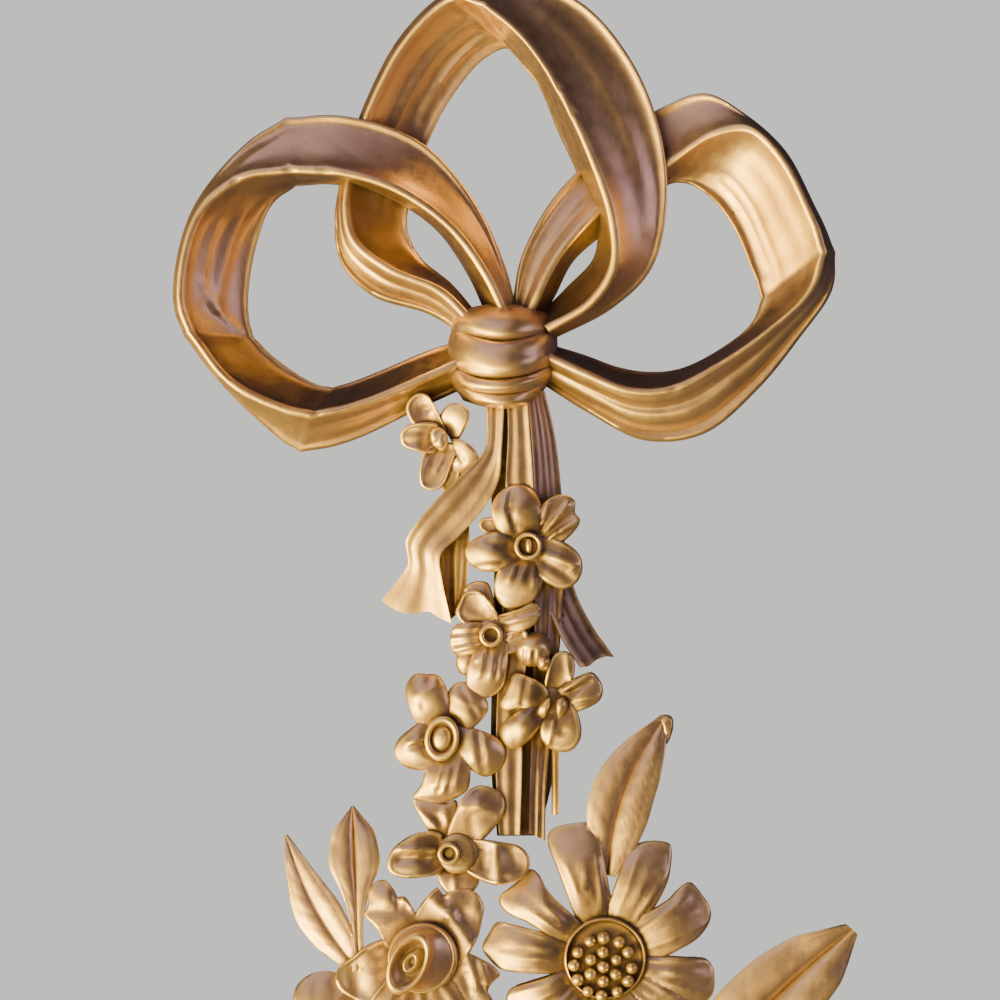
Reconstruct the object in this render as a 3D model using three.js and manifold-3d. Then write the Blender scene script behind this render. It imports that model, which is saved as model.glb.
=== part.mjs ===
// Floral wall accent: a bow with three ribbon loops over a drop of garden flowers and leaves.
// It is moulded in one piece with a flat back, as a plaque that hangs close against a wall.
// Millimetres. X runs to the right, Z up the wall, the back lies in y = 0 and the front faces -Y.
// The origin is on the back, behind the knot of the bow.

import * as THREE from 'three';
import Module from 'manifold-3d';

// Driving dimensions
const accentHeight = 504; // top of the bow to the tip of the lowest leaf
const knotWidth = 40;
const knotHeight = 35;
const knotDepth = 29; // how far the knot stands out from the wall, the most of any part
const rimWidth = 3.2; // the rolled edge of the ribbon
const seedDiameter = 4.2; // seeds in the daisy's eye
const keyholeHead = 9; // hanging keyhole in the back: the round that takes the screw's head
const keyholeSlot = 4.6; // the narrow part that the screw's neck slides into
const keyholeDepth = 3;
const keyholeTravel = 6; // from the middle of the round to the middle of the slot's end
const keyholeRise = 7; // from the origin up to the middle of the round

// The flowing forms are set out on a squared drawing, as a carver does. A place is [across, up],
// counted in squares from the middle of the knot, and out is how far it stands off the wall.
const squaresInHeight = 144;
const square = accentHeight / squaresInHeight;

// Raised forms start a little behind the wall plane, and are then sawn off flat in it together
const sawingDepth = 3;

// How finely the flowing forms are cut into flat faces
const facesPerStation = 1.5;
const knotFaces = 8;
const leafFaces = 5;
const slotEndFaces = 8;

function place([across, up], out) {
  return new THREE.Vector3(across * square, -out * square, up * square);
}

function mix(from, to, share) {
  return from + (to - from) * share;
}

function angled([across, up], degrees, distance) {
  const turn = THREE.MathUtils.degToRad(degrees);
  return [across + Math.cos(turn) * distance, up + Math.sin(turn) * distance];
}

const wasm = await Module();
wasm.setup();

// A closed body from its corners and triangles, turned to face outwards if it came out inside out.
function body({ corners, triangles }) {
  let volume = 0;
  for (const [a, b, c] of triangles) {
    volume += corners[a].dot(corners[b].clone().cross(corners[c]));
  }
  const facing = volume < 0 ? triangles.map(([a, b, c]) => [a, c, b]) : triangles;
  return new wasm.Manifold(new wasm.Mesh({
    numProp: 3,
    vertProperties: new Float32Array(corners.flatMap((point) => point.toArray())),
    triVerts: new Uint32Array(facing.flat()),
  }));
}

// The corners of a three.js geometry with those at the same place made one, and its triangles.
function welded(geometry) {
  const position = geometry.getAttribute('position');
  const corners = [];
  const found = new Map();
  const number = [];
  for (let i = 0; i < position.count; i += 1) {
    const point = new THREE.Vector3().fromBufferAttribute(position, i);
    const key = point.toArray().map((v) => Math.round(v * 1e4)).join();
    if (!found.has(key)) found.set(key, corners.push(point) - 1);
    number.push(found.get(key));
  }
  const index = geometry.index ? [...geometry.index.array] : number.map((_, i) => i);
  const triangles = [];
  for (let i = 0; i < index.length; i += 3) {
    const [a, b, c] = index.slice(i, i + 3).map((v) => number[v]);
    if (a !== b && b !== c && c !== a) triangles.push([a, b, c]);
  }
  return { corners, triangles };
}

// A raised form: a grid of points is its face, and walls run from its border back past the wall
// plane. undercut draws the foot in under the face, towards the middle line of the grid.
function raised(grid, undercut = 0) {
  const rows = grid.length;
  const columns = grid[0].length;
  const corners = grid.flat();
  const triangles = [];
  const at = (row, column) => row * columns + column;
  for (let row = 0; row + 1 < rows; row += 1) {
    for (let column = 0; column + 1 < columns; column += 1) {
      triangles.push([at(row, column), at(row + 1, column), at(row + 1, column + 1)]);
      triangles.push([at(row, column), at(row + 1, column + 1), at(row, column + 1)]);
    }
  }
  const border = [];
  for (let row = 0; row < rows; row += 1) border.push([row, 0]);
  for (let column = 1; column < columns; column += 1) border.push([rows - 1, column]);
  for (let row = rows - 2; row >= 0; row -= 1) border.push([row, columns - 1]);
  for (let column = columns - 2; column > 0; column -= 1) border.push([0, column]);

  const foot = corners.length;
  const outline = [];
  for (const [row, column] of border) {
    const inner = Math.min(Math.max(row, 1), rows - 2);
    const middle = grid[inner][0].clone().lerp(grid[inner][columns - 1], 0.5);
    const point = grid[row][column].clone().lerp(middle, undercut).setY(sawingDepth);
    corners.push(point);
    outline.push(new THREE.Vector2(point.x, point.z));
  }
  border.forEach(([row, column], i) => {
    const next = (i + 1) % border.length;
    const [nextRow, nextColumn] = border[next];
    triangles.push([at(row, column), foot + i, foot + next]);
    triangles.push([at(row, column), foot + next, at(nextRow, nextColumn)]);
  });
  // The triangulation always runs anticlockwise, and the back has to run against its outline.
  const clockwise = THREE.ShapeUtils.isClockWise(outline);
  for (const [a, b, c] of THREE.ShapeUtils.triangulateShape(outline, [])) {
    triangles.push(clockwise ? [foot + a, foot + b, foot + c] : [foot + a, foot + c, foot + b]);
  }
  return body({ corners, triangles });
}

// Ribbon of the bow. Each station across a loop has three marks: its inner edge, its crest, which is
// the rolled front edge, and its outer edge, and how far each of the three stands off the wall.
const leftLoop = [
  { inner: [-1.8, 4.3], crest: [0.4, 3.5], outer: [1.5, 4.1], out: [1.0, 5.2, 3.4] },
  { inner: [-3.5, 8.0], crest: [-1.9, 8.3], outer: [0.3, 8.7], out: [1.2, 5.8, 3.4] },
  { inner: [-6.7, 12.6], crest: [-5.3, 12.7], outer: [-2.5, 14.9], out: [1.2, 6.4, 3.6] },
  { inner: [-11.1, 15.6], crest: [-10.3, 16.3], outer: [-7.9, 21.1], out: [1.2, 6.8, 3.8] },
  { inner: [-16.1, 17.1], crest: [-15.8, 18.1], outer: [-15.1, 23.8], out: [1.2, 6.8, 3.8] },
  { inner: [-20.8, 17.1], crest: [-21.3, 18.5], outer: [-21.8, 23.8], out: [1.0, 6.6, 3.4] },
  { inner: [-23.3, 15.1], crest: [-26.3, 17.6], outer: [-26.5, 20.5], out: [0.8, 6.4, 3.8] },
  { inner: [-24.7, 11.5], crest: [-30.3, 14.3], outer: [-30.9, 14.9], out: [0.8, 6.2, 4.6] },
  { inner: [-25.5, 7.5], crest: [-32.0, 9.3], outer: [-32.7, 9.2], out: [0.8, 6.2, 4.8] },
  { inner: [-25.6, 4.3], crest: [-32.2, 5.0], outer: [-32.9, 4.8], out: [0.8, 6.2, 4.8] },
  { inner: [-25.1, 1.9], crest: [-31.3, 2.3], outer: [-31.9, 1.9], out: [0.8, 6.0, 4.4] },
  { inner: [-22.3, -0.7], crest: [-27.5, -2.5], outer: [-28.1, -3.0], out: [0.8, 5.8, 4.0] },
  { inner: [-18.9, -2.8], crest: [-22.3, -5.2], outer: [-23.1, -7.8], out: [0.8, 5.6, 2.2] },
  { inner: [-17.1, -3.2], crest: [-19.1, -6.0], outer: [-20.3, -9.7], out: [0.8, 5.4, 1.6] },
  { inner: [-13.3, -1.9], crest: [-14.3, -4.9], outer: [-15.1, -8.5], out: [0.8, 5.2, 1.6] },
  { inner: [-7.3, 0.6], crest: [-7.8, -2.3], outer: [-8.3, -5.3], out: [1.0, 5.0, 1.6] },
  { inner: [-3.3, 1.8], crest: [-3.3, -0.3], outer: [-3.3, -3.0], out: [1.0, 4.6, 1.6] },
];

const topLoop = [
  { inner: [-1.3, 2.6], crest: [-2.3, 2.4], outer: [-2.9, 1.2], out: [1.0, 4.4, 1.6] },
  { inner: [-5.1, 7.2], crest: [-6.3, 6.4], outer: [-7.3, 4.1], out: [0.8, 4.8, 1.6] },
  { inner: [-8.3, 9.9], crest: [-11.5, 8.7], outer: [-13.1, 6.0], out: [0.8, 5.0, 1.6] },
  { inner: [-9.6, 12.7], crest: [-15.1, 11.7], outer: [-16.2, 9.1], out: [0.8, 4.6, 1.6] },
  { inner: [-9.2, 16.5], crest: [-15.8, 15.0], outer: [-16.9, 13.5], out: [0.8, 4.2, 2.2] },
  { inner: [-7.8, 20.8], crest: [-15.0, 20.0], outer: [-15.9, 19.3], out: [0.8, 3.4, 2.4] },
  { inner: [-5.5, 25.5], crest: [-12.9, 25.8], outer: [-13.6, 25.9], out: [0.8, 3.8, 2.8] },
  { inner: [-2.0, 29.8], crest: [-9.5, 31.7], outer: [-10.1, 32.2], out: [0.8, 4.8, 3.6] },
  { inner: [0.5, 30.9], crest: [-5.1, 35.5], outer: [-5.5, 36.3], out: [0.8, 5.8, 4.6] },
  { inner: [1.7, 29.5], crest: [-2.1, 34.9], outer: [0.7, 37.6], out: [0.8, 6.8, 4.6] },
  { inner: [3.7, 26.9], crest: [1.9, 31.5], outer: [7.7, 35.3], out: [0.8, 7.2, 4.4] },
  { inner: [5.4, 22.8], crest: [5.7, 26.0], outer: [12.7, 29.7], out: [0.8, 7.4, 4.2] },
  { inner: [7.6, 18.0], crest: [8.9, 19.5], outer: [15.7, 22.5], out: [0.8, 7.4, 4.2] },
  { inner: [9.4, 13.2], crest: [10.9, 13.5], outer: [16.4, 15.0], out: [0.8, 7.2, 4.0] },
  { inner: [9.1, 9.9], crest: [11.0, 8.7], outer: [14.9, 8.7], out: [0.8, 6.8, 3.6] },
  { inner: [6.3, 6.8], crest: [8.7, 5.1], outer: [10.9, 4.7], out: [1.0, 6.0, 3.4] },
  { inner: [3.2, 3.7], crest: [4.4, 2.6], outer: [4.9, 1.6], out: [1.0, 5.0, 3.0] },
];

const rightLoop = [
  { inner: [3.6, 3.2], crest: [2.3, 3.4], outer: [0.9, 3.4], out: [1.0, 4.0, 2.6] },
  { inner: [5.2, 5.9], crest: [3.4, 5.9], outer: [1.1, 6.3], out: [1.0, 4.4, 3.0] },
  { inner: [7.1, 9.5], crest: [5.3, 9.7], outer: [1.9, 10.1], out: [0.8, 4.4, 2.8] },
  { inner: [10.5, 12.5], crest: [8.9, 13.9], outer: [5.2, 16.0], out: [0.8, 3.8, 2.2] },
  { inner: [14.5, 15.5], crest: [13.3, 17.2], outer: [10.9, 21.5], out: [0.8, 3.3, 1.6] },
  { inner: [16.9, 17.3], crest: [17.1, 19.6], outer: [16.1, 25.0], out: [0.8, 3.6, 1.6] },
  { inner: [18.9, 17.2], crest: [20.9, 22.0], outer: [20.2, 26.3], out: [0.8, 4.8, 2.2] },
  { inner: [21.3, 15.5], crest: [24.7, 22.5], outer: [23.9, 24.4], out: [0.8, 5.6, 3.6] },
  { inner: [23.3, 12.7], crest: [27.7, 19.7], outer: [28.2, 20.5], out: [0.8, 6.0, 4.6] },
  { inner: [24.9, 8.9], crest: [30.3, 14.7], outer: [31.1, 15.1], out: [0.8, 6.2, 4.6] },
  { inner: [26.0, 5.7], crest: [31.9, 10.3], outer: [33.3, 10.3], out: [0.8, 6.2, 3.4] },
  { inner: [24.9, 3.2], crest: [30.5, 6.3], outer: [33.0, 6.5], out: [0.8, 5.8, 2.4] },
  { inner: [21.5, 0.5], crest: [26.7, 2.7], outer: [29.9, 1.9], out: [0.8, 5.4, 1.8] },
  { inner: [17.7, -1.3], crest: [21.9, -0.7], outer: [25.5, -3.5], out: [0.8, 5.2, 1.6] },
  { inner: [14.5, -1.6], crest: [16.9, -3.4], outer: [20.1, -7.9], out: [0.8, 5.2, 1.6] },
  { inner: [11.5, -1.1], crest: [12.7, -3.6], outer: [14.2, -8.5], out: [0.8, 5.2, 1.6] },
  { inner: [8.2, 0.1], crest: [8.5, -2.0], outer: [8.5, -5.7], out: [0.8, 5.0, 1.6] },
  { inner: [4.2, 1.3], crest: [4.2, 0.0], outer: [4.2, -3.0], out: [1.0, 4.6, 1.6] },
];

// How much each mark across a face of the ribbon stands out, as a share of the face's width: a plain
// ribbon is a shallow trough, and a gathered one has two grooves with a fold between them.
const plainFace = [-0.09, -0.11, -0.09];
const gatheredFace = [-0.16, 0.04, -0.16];

// A smooth rail through one mark of every station.
function rail(stations, mark, height) {
  const points = stations.map((station) => place(station[mark], station.out[height]));
  return new THREE.CatmullRomCurve3(points, false, 'centripetal');
}

function widthOnWall(a, b) {
  return Math.hypot(b.x - a.x, b.z - a.z);
}

// The point on the rolled edge's border, towards one edge of the ribbon.
function rimPoint(crest, edge) {
  const width = widthOnWall(crest, edge);
  const share = Math.min(rimWidth / 2, width * 0.4) / width;
  return crest.clone().lerp(edge.clone().setY(crest.y), share);
}

// The points across one face of the ribbon, from the rim to an edge, without its two ends.
function facePoints(rim, edge, gathered) {
  const width = widthOnWall(rim, edge);
  return plainFace.map((plain, i) => {
    const point = rim.clone().lerp(edge, (i + 1) / (plainFace.length + 1));
    point.y -= mix(plain, gatheredFace[i], gathered) * width;
    return point;
  });
}

// One ribbon loop. gatheredAt says how gathered the outer face is, from 0 to 1, along the loop.
function ribbonLoop(stations, gatheredAt) {
  const inner = rail(stations, 'inner', 0);
  const crest = rail(stations, 'crest', 1);
  const outer = rail(stations, 'outer', 2);
  const steps = Math.round((stations.length - 1) * facesPerStation);
  const grid = [];
  for (let step = 0; step <= steps; step += 1) {
    const t = step / steps;
    const [a, b, c] = [inner.getPoint(t), crest.getPoint(t), outer.getPoint(t)];
    const [rimIn, rimOut] = [rimPoint(b, a), rimPoint(b, c)];
    const innerFace = facePoints(rimIn, a, 0).reverse();
    const outerFace = facePoints(rimOut, c, gatheredAt(t));
    grid.push([a, ...innerFace, rimIn, rimOut, ...outerFace, c]);
  }
  return raised(grid);
}

const { smoothstep } = THREE.MathUtils;
const gatheredTo = (end) => (t) => 1 - smoothstep(t, end * 0.6, end);
const gatheredFrom = (start) => (t) => smoothstep(t, start, mix(start, 1, 0.3));

// Knot: a half barrel of ribbon wrapped four times, each wrap sagging in front. From the top down,
// these are the crests of the wraps and the grooves between them: how high each starts at the side
// and how far it sags, both as shares of the knot's height, and its width and depth, as shares too.
const knotWraps = [
  { start: 0.5, sag: 0.12, wide: 0.86, deep: 0.76 },
  { start: 0.43, sag: 0.21, wide: 0.92, deep: 0.94 },
  { start: 0.31, sag: 0.16, wide: 0.92, deep: 0.84 },
  { start: 0.1, sag: 0.23, wide: 1, deep: 1 },
  { start: -0.07, sag: 0.16, wide: 0.98, deep: 0.85 },
  { start: -0.19, sag: 0.12, wide: 1, deep: 0.95 },
  { start: -0.31, sag: 0.08, wide: 0.93, deep: 0.83 },
  { start: -0.39, sag: 0.08, wide: 0.84, deep: 0.86 },
  { start: -0.44, sag: 0.09, wide: 0.76, deep: 0.7 },
];
const knotSideDepth = 0.2; // the least that the barrel's sides stand out, as a share of its depth

function knot() {
  return raised(knotWraps.map(({ start, sag, wide, deep }) => (
    Array.from({ length: knotFaces + 1 }, (_, face) => {
      const turn = Math.PI * (1 - face / knotFaces);
      const front = Math.sin(turn) ** 0.8;
      return new THREE.Vector3(
        Math.cos(turn) * (knotWidth / 2) * wide,
        -Math.max(knotSideDepth, front) * knotDepth * deep,
        (start - sag * front) * knotHeight,
      );
    })
  )));
}

// Ends of the ribbon. Each mark down a strip gives its left edge, its right edge and its height, all
// in squares, and folds is how many crests it has side by side.
const hangingRibbon = [
  { left: [-2.0, -3.6], right: [4.2, -3.6], out: 4.6 },
  { left: [-1.7, -8.5], right: [5.3, -8.5], out: 4.4 },
  { left: [-1.3, -13.5], right: [5.8, -13.5], out: 4.2 },
  { left: [-0.9, -21.0], right: [6.2, -21.0], out: 3.9 },
  { left: [-1.0, -30.0], right: [6.1, -30.0], out: 3.7 },
  { left: [-1.3, -41.0], right: [6.1, -41.0], out: 3.7 },
  { left: [-1.2, -50.0], right: [6.0, -50.0], out: 3.7 },
  { left: [0.0, -62.0], right: [5.5, -62.0], out: 3.2 },
  { left: [-0.5, -78.0], right: [5.5, -78.0], out: 2.8 },
  { left: [0.0, -94.0], right: [4.0, -94.0], out: 2.4 },
];

const leftTail = [
  { left: [-1.8, -3.6], right: [0.2, -3.6], out: 4.9 },
  { left: [-1.9, -9.5], right: [-0.2, -9.5], out: 4.9 },
  { left: [-4.1, -11.9], right: [-0.4, -12.4], out: 4.8 },
  { left: [-6.5, -14.3], right: [-1.8, -15.2], out: 4.7 },
  { left: [-8.7, -16.9], right: [-4.4, -18.1], out: 4.6 },
  { left: [-9.7, -18.7], right: [-6.2, -20.0], out: 4.4 },
  { left: [-9.6, -21.0], right: [-6.1, -22.3], out: 3.3 },
  { left: [-12.2, -24.6], right: [-5.2, -26.7], out: 2.6 },
];

const turnedTail = [
  { left: [-4.2, -17.2], right: [-1.6, -16.6], out: 2.6 },
  { left: [-6.3, -20.2], right: [-3.4, -18.8], out: 2.4 },
  { left: [-6.1, -23.5], right: [-4.0, -23.5], out: 2.2 },
  { left: [-5.4, -26.4], right: [-4.6, -25.8], out: 2.0 },
];

const rightTail = [
  { left: [2.4, -20.0], right: [6.3, -20.5], out: 3.4 },
  { left: [4.2, -24.5], right: [7.6, -24.5], out: 2.8 },
  { left: [5.9, -28.5], right: [9.4, -27.8], out: 2.3 },
  { left: [7.7, -31.3], right: [11.2, -30.1], out: 1.8 },
];

// A strip with its grooves cut to a depth in squares, and its end notched up in the middle.
function flutedStrip(marks, { folds, groove, notch = 0 }) {
  const left = new THREE.CatmullRomCurve3(marks.map((mark) => place(mark.left, mark.out)));
  const right = new THREE.CatmullRomCurve3(marks.map((mark) => place(mark.right, mark.out)));
  const rows = marks.length - 1;
  const columns = folds * 2;
  const grid = [];
  for (let row = 0; row <= rows; row += 1) {
    const [a, b] = [left.getPoint(row / rows), right.getPoint(row / rows)];
    const line = [];
    for (let column = 0; column <= columns; column += 1) {
      const point = a.clone().lerp(b, column / columns);
      if (column % 2 === 0) point.y += groove * square;
      if (row === rows) point.z += notch * square * Math.sin((Math.PI * column) / columns);
      line.push(point);
    }
    grid.push(line);
  }
  return raised(grid);
}

// Flowers: the middle of each, how far its petals stand off the wall there, how it leans, and the
// direction of each petal, in degrees from the right, with its reach in squares.
const upright = [0, 0];
const evenPetals = (count, first, reach) => (
  Array.from({ length: count }, (_, i) => [first + (360 * i) / count, reach])
);
const smallFlowers = [
  {
    at: [-6.5, -8.5],
    out: 4.6,
    lean: [0.04, 0.02],
    petals: [[50, 4.4], [110, 5], [180, 4], [256, 5.3], [325, 4.2]],
  },
  {
    at: [2.5, -19.1],
    out: 5.7,
    lean: upright,
    petals: [[38, 6.2], [102, 6], [187, 6.4], [258, 5.8], [336, 5.6]],
  },
  {
    at: [-1.2, -28.0],
    out: 5.6,
    lean: upright,
    petals: [[35, 5], [108, 4.6], [182, 4.1], [265, 6.3], [335, 4.5]],
  },
  {
    at: [4.9, -35.1],
    out: 5.2,
    lean: upright,
    petals: [[20, 5], [78, 5.4], [172, 5.5], [217, 5.2], [300, 4.6]],
  },
  {
    at: [-6.2, -38.3],
    out: 5.0,
    lean: [0.1, 0.06],
    petals: [[50, 5.5], [108, 6.6], [194, 4.8], [270, 6.2], [343, 6.6]],
  },
  {
    at: [-5.4, -49.8],
    out: 5.2,
    lean: upright,
    petals: [[48, 7.5], [115, 5.5], [187, 6], [281, 4.5], [350, 7.9]],
  },
  { at: [18.6, -73.0], out: 4.2, lean: upright, petals: evenPetals(5, 18, 6.8) },
  { at: [-9.6, -78.5], out: 4.4, lean: upright, petals: evenPetals(5, 40, 6.4) },
  { at: [8.8, -81.5], out: 4.6, lean: upright, petals: evenPetals(5, 5, 6.4) },
  { at: [-0.6, -86.5], out: 5.0, lean: upright, petals: evenPetals(5, 54, 6.2) },
  { at: [3.6, -94.5], out: 4.4, lean: upright, petals: evenPetals(5, 25, 5.4) },
];
const daffodil = {
  at: [-9.0, -60.2],
  out: 5.6,
  lean: upright,
  petals: [[45, 8], [105, 8], [185, 8.4], [240, 8.4], [295, 8.2], [345, 8]],
};
const daisy = {
  at: [10.2, -61.2],
  out: 5.0,
  lean: upright,
  petals: [29, 64, 103, 137, 168, 200, 232, 264, 297, 324, 351].map((degrees) => [degrees, 11.2]),
};
const wideFlowers = [
  { at: [-17.8, -70.0], out: 4.4, lean: upright, petals: evenPetals(5, 18, 8.4) },
  { at: [-0.2, -73.4], out: 5.4, lean: upright, petals: evenPetals(5, 50, 9) },
];

// Kinds of flower. The eye has its radius, the height of its edge and of its middle over the petals.
// Each ring round it has its place as a share of the petals' reach, and the height that it adds on
// the line of a petal (crest) and between two petals (valley). notch is how deep the gaps are.
const smallKind = {
  eye: { radius: 1.1, edge: 0.8, middle: -0.2 },
  rings: [
    { share: 0.25, crest: -0.5, valley: -0.7 },
    { share: 0.7, crest: 0, valley: -1.4 },
    { share: 1, crest: -0.6, valley: -2.2 },
  ],
  notch: 0.34,
};
const trumpetKind = {
  eye: { radius: 2.7, edge: 2.0, middle: -0.6 },
  rings: [
    { share: 0.4, crest: -0.6, valley: -0.8 },
    { share: 0.75, crest: 0, valley: -1.6 },
    { share: 1, crest: -1.4, valley: -2.4 },
  ],
  notch: 0.3,
};
const daisyKind = {
  eye: { radius: 3.9, edge: 0.7, middle: 0.9 },
  rings: [
    { share: 0.4, crest: -0.2, valley: -0.6 },
    { share: 0.8, crest: -0.2, valley: -1.6 },
    { share: 1, crest: -1.2, valley: -2.4 },
  ],
  notch: 0.3,
};
const wideKind = {
  eye: { radius: 1.6, edge: 1.1, middle: -0.2 },
  rings: [
    { share: 0.3, crest: -0.6, valley: -0.8 },
    { share: 0.75, crest: 0, valley: -1.6 },
    { share: 1, crest: -0.8, valley: -2.4 },
  ],
  notch: 0.28,
};
const flowerUndercut = 0.22;

// The directions round a flower that its rings are cut at: down each petal, near its two sides, and
// in the gap after it. side runs from 0 on the petal's line to 1 in the gap.
function petalTurns(petals) {
  return petals.flatMap(([degrees, reach], i) => {
    const last = i + 1 === petals.length;
    const [ahead, aheadReach] = petals[last ? 0 : i + 1];
    const gap = ahead + (last ? 360 : 0) - degrees;
    return [
      { degrees, side: 0, reach },
      { degrees: degrees + gap * 0.32, side: 0.64, reach },
      { degrees: degrees + gap * 0.5, side: 1, reach: (reach + aheadReach) / 2 },
      { degrees: degrees + gap * 0.68, side: 0.64, reach: aheadReach },
    ];
  });
}

function flower({ at, out, lean, petals }, { eye, rings, notch }) {
  const turns = petalTurns(petals);
  const leaning = ([across, up], height) => {
    const tilt = lean[0] * (across - at[0]) + lean[1] * (up - at[1]);
    return place([across, up], height + tilt);
  };
  const corners = [leaning(at, out + eye.middle)];
  for (const { degrees } of turns) {
    corners.push(leaning(angled(at, degrees, eye.radius), out + eye.edge));
  }
  for (const ring of rings) {
    for (const { degrees, side, reach } of turns) {
      const radius = reach * ring.share * (1 - notch * (ring.share * side) ** 3);
      const height = out + mix(ring.crest, ring.valley, side ** 2);
      corners.push(leaning(angled(at, degrees, Math.max(radius, eye.radius * 1.05)), height));
    }
  }
  for (const rim of corners.slice(-turns.length)) {
    corners.push(rim.clone().lerp(corners[0], flowerUndercut).setY(sawingDepth));
  }
  const base = corners.push(corners[0].clone().setY(sawingDepth)) - 1;

  const triangles = [];
  const ringCount = rings.length + 2;
  const onRing = (ring, i) => 1 + ring * turns.length + (i % turns.length);
  for (let i = 0; i < turns.length; i += 1) {
    triangles.push([0, onRing(0, i), onRing(0, i + 1)]);
    for (let ring = 0; ring + 1 < ringCount; ring += 1) {
      const [a, b] = [onRing(ring, i), onRing(ring, i + 1)];
      const [c, d] = [onRing(ring + 1, i), onRing(ring + 1, i + 1)];
      triangles.push([a, c, d], [a, d, b]);
    }
    triangles.push([base, onRing(ringCount - 1, i + 1), onRing(ringCount - 1, i)]);
  }
  return body({ corners, triangles });
}

// Seeds in the eye of the daisy, one in the middle and two rings round it.
const seedRings = [
  { radius: 0, count: 1 },
  { radius: 1.5, count: 6 },
  { radius: 2.9, count: 11 },
];

function seeds() {
  return seedRings.flatMap(({ radius, count }) => (
    Array.from({ length: count }, (_, i) => {
      const at = angled(daisy.at, (360 * (i + radius / 3)) / count, radius);
      const seat = place(at, daisy.out + daisyKind.eye.edge);
      const { corners, triangles } = welded(new THREE.OctahedronGeometry(seedDiameter / 2));
      return body({ corners: corners.map((point) => point.add(seat)), triangles });
    })
  ));
}

// Leaves, each from its stalk end to its tip, with its half-width, how far its middle bends to the
// left of that line, and its height at both ends.
const leaves = [
  { from: [-14.6, -61.5], to: [-21.8, -48.1], half: 2.7, bend: -0.9, out: [4.2, 1.8] },
  { from: [-13.8, -58.5], to: [-15.1, -45.2], half: 2.7, bend: 0, out: [4.4, 2.2] },
  { from: [10.4, -52.0], to: [16.6, -36.0], half: 3.5, bend: 0.9, out: [4.0, 2.6] },
  { from: [19.0, -74.0], to: [35.0, -57.4], half: 4.6, bend: 0.8, out: [3.6, 2.4] },
  { from: [-20.0, -72.0], to: [-33.5, -81.0], half: 4.0, bend: 0.6, out: [3.4, 1.8] },
  { from: [-12.0, -79.0], to: [-20.5, -91.5], half: 3.3, bend: -0.6, out: [3.4, 1.8] },
  { from: [20.0, -73.0], to: [32.5, -84.0], half: 3.8, bend: -0.6, out: [3.4, 1.8] },
  { from: [10.5, -82.0], to: [20.0, -93.5], half: 3.2, bend: 0.6, out: [3.4, 1.8] },
  { from: [0.5, -90.0], to: [-8.0, -99.0], half: 2.8, bend: -0.5, out: [3.4, 1.8] },
  { from: [4.0, -95.0], to: [11.5, -102.5], half: 2.6, bend: 0.5, out: [3.2, 1.8] },
  { from: [3.5, -94.0], to: [1.5, -106.4], half: 2.8, bend: 0, out: [3.2, 1.8] },
];
const leafUndercut = 0.25;

// A leaf's half-width along it, as a share of the widest: quick to widen, slow to come to its tip.
function leafOutline(share) {
  return Math.max(0.06, Math.sin(Math.PI * (0.1 + 0.88 * share ** 0.85)) ** 0.8);
}

// The lines of points along a leaf: its edges, its two swelling halves and the groove between them.
const leafLines = [
  { side: -1, swell: 0 },
  { side: -0.5, swell: 0.11 },
  { side: 0, swell: 0.015 },
  { side: 0.5, swell: 0.11 },
  { side: 1, swell: 0 },
];

function leaf({ from, to, half, bend, out }) {
  const [across, up] = [to[0] - from[0], to[1] - from[1]];
  const length = Math.hypot(across, up);
  const degrees = THREE.MathUtils.radToDeg(Math.atan2(up, across));
  const grid = [];
  for (let row = 0; row <= leafFaces; row += 1) {
    const share = row / leafFaces;
    const arch = Math.sin(Math.PI * share);
    const width = half * leafOutline(share);
    const middle = angled(angled(from, degrees, length * share), degrees + 90, bend * arch);
    const height = mix(out[0], out[1], share) + arch / 2;
    grid.push(leafLines.map(({ side, swell }) => (
      place(angled(middle, degrees + 90, side * width), height + swell * width)
    )));
  }
  return raised(grid, leafUndercut);
}

// Keyhole for hanging, sunk in the back above the origin: a round with a slot that runs up from it.
function keyhole() {
  const [head, neck] = [keyholeHead / 2, keyholeSlot / 2];
  const mouth = Math.asin(neck / head);
  const outline = new THREE.Shape();
  outline.absarc(0, 0, head, Math.PI / 2 + mouth, Math.PI * 2.5 - mouth, false);
  outline.absarc(0, keyholeTravel, neck, 0, Math.PI, false);
  const cutter = new THREE.ExtrudeGeometry(outline, {
    depth: keyholeDepth * 2,
    bevelEnabled: false,
    curveSegments: slotEndFaces,
  });
  cutter.rotateX(Math.PI / 2);
  cutter.translate(0, keyholeDepth, keyholeRise);
  return body(welded(cutter));
}

// The waste behind the wall plane
function waste() {
  const block = new THREE.BoxGeometry(accentHeight * 2, sawingDepth * 2, accentHeight * 2);
  block.translate(0, sawingDepth, 0);
  return body(welded(block));
}

const raisedWork = [
  ribbonLoop(leftLoop, (t) => gatheredFrom(0.8)(t) / 2),
  ribbonLoop(topLoop, gatheredTo(0.36)),
  ribbonLoop(rightLoop, (t) => Math.max(gatheredFrom(0.55)(t), gatheredTo(0.3)(t) / 2)),
  knot(),
  flutedStrip(hangingRibbon, { folds: 4, groove: 0.8 }),
  flutedStrip(leftTail, { folds: 1, groove: 0.2, notch: 0.8 }),
  flutedStrip(turnedTail, { folds: 2, groove: 0.4 }),
  flutedStrip(rightTail, { folds: 2, groove: 0.4, notch: 0.3 }),
  ...smallFlowers.map((bloom) => flower(bloom, smallKind)),
  ...wideFlowers.map((bloom) => flower(bloom, wideKind)),
  flower(daffodil, trumpetKind),
  flower(daisy, daisyKind),
  ...seeds(),
  ...leaves.map(leaf),
];
const solid = wasm.Manifold.union(raisedWork).subtract(waste()).subtract(keyhole()).getMesh();

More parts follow.
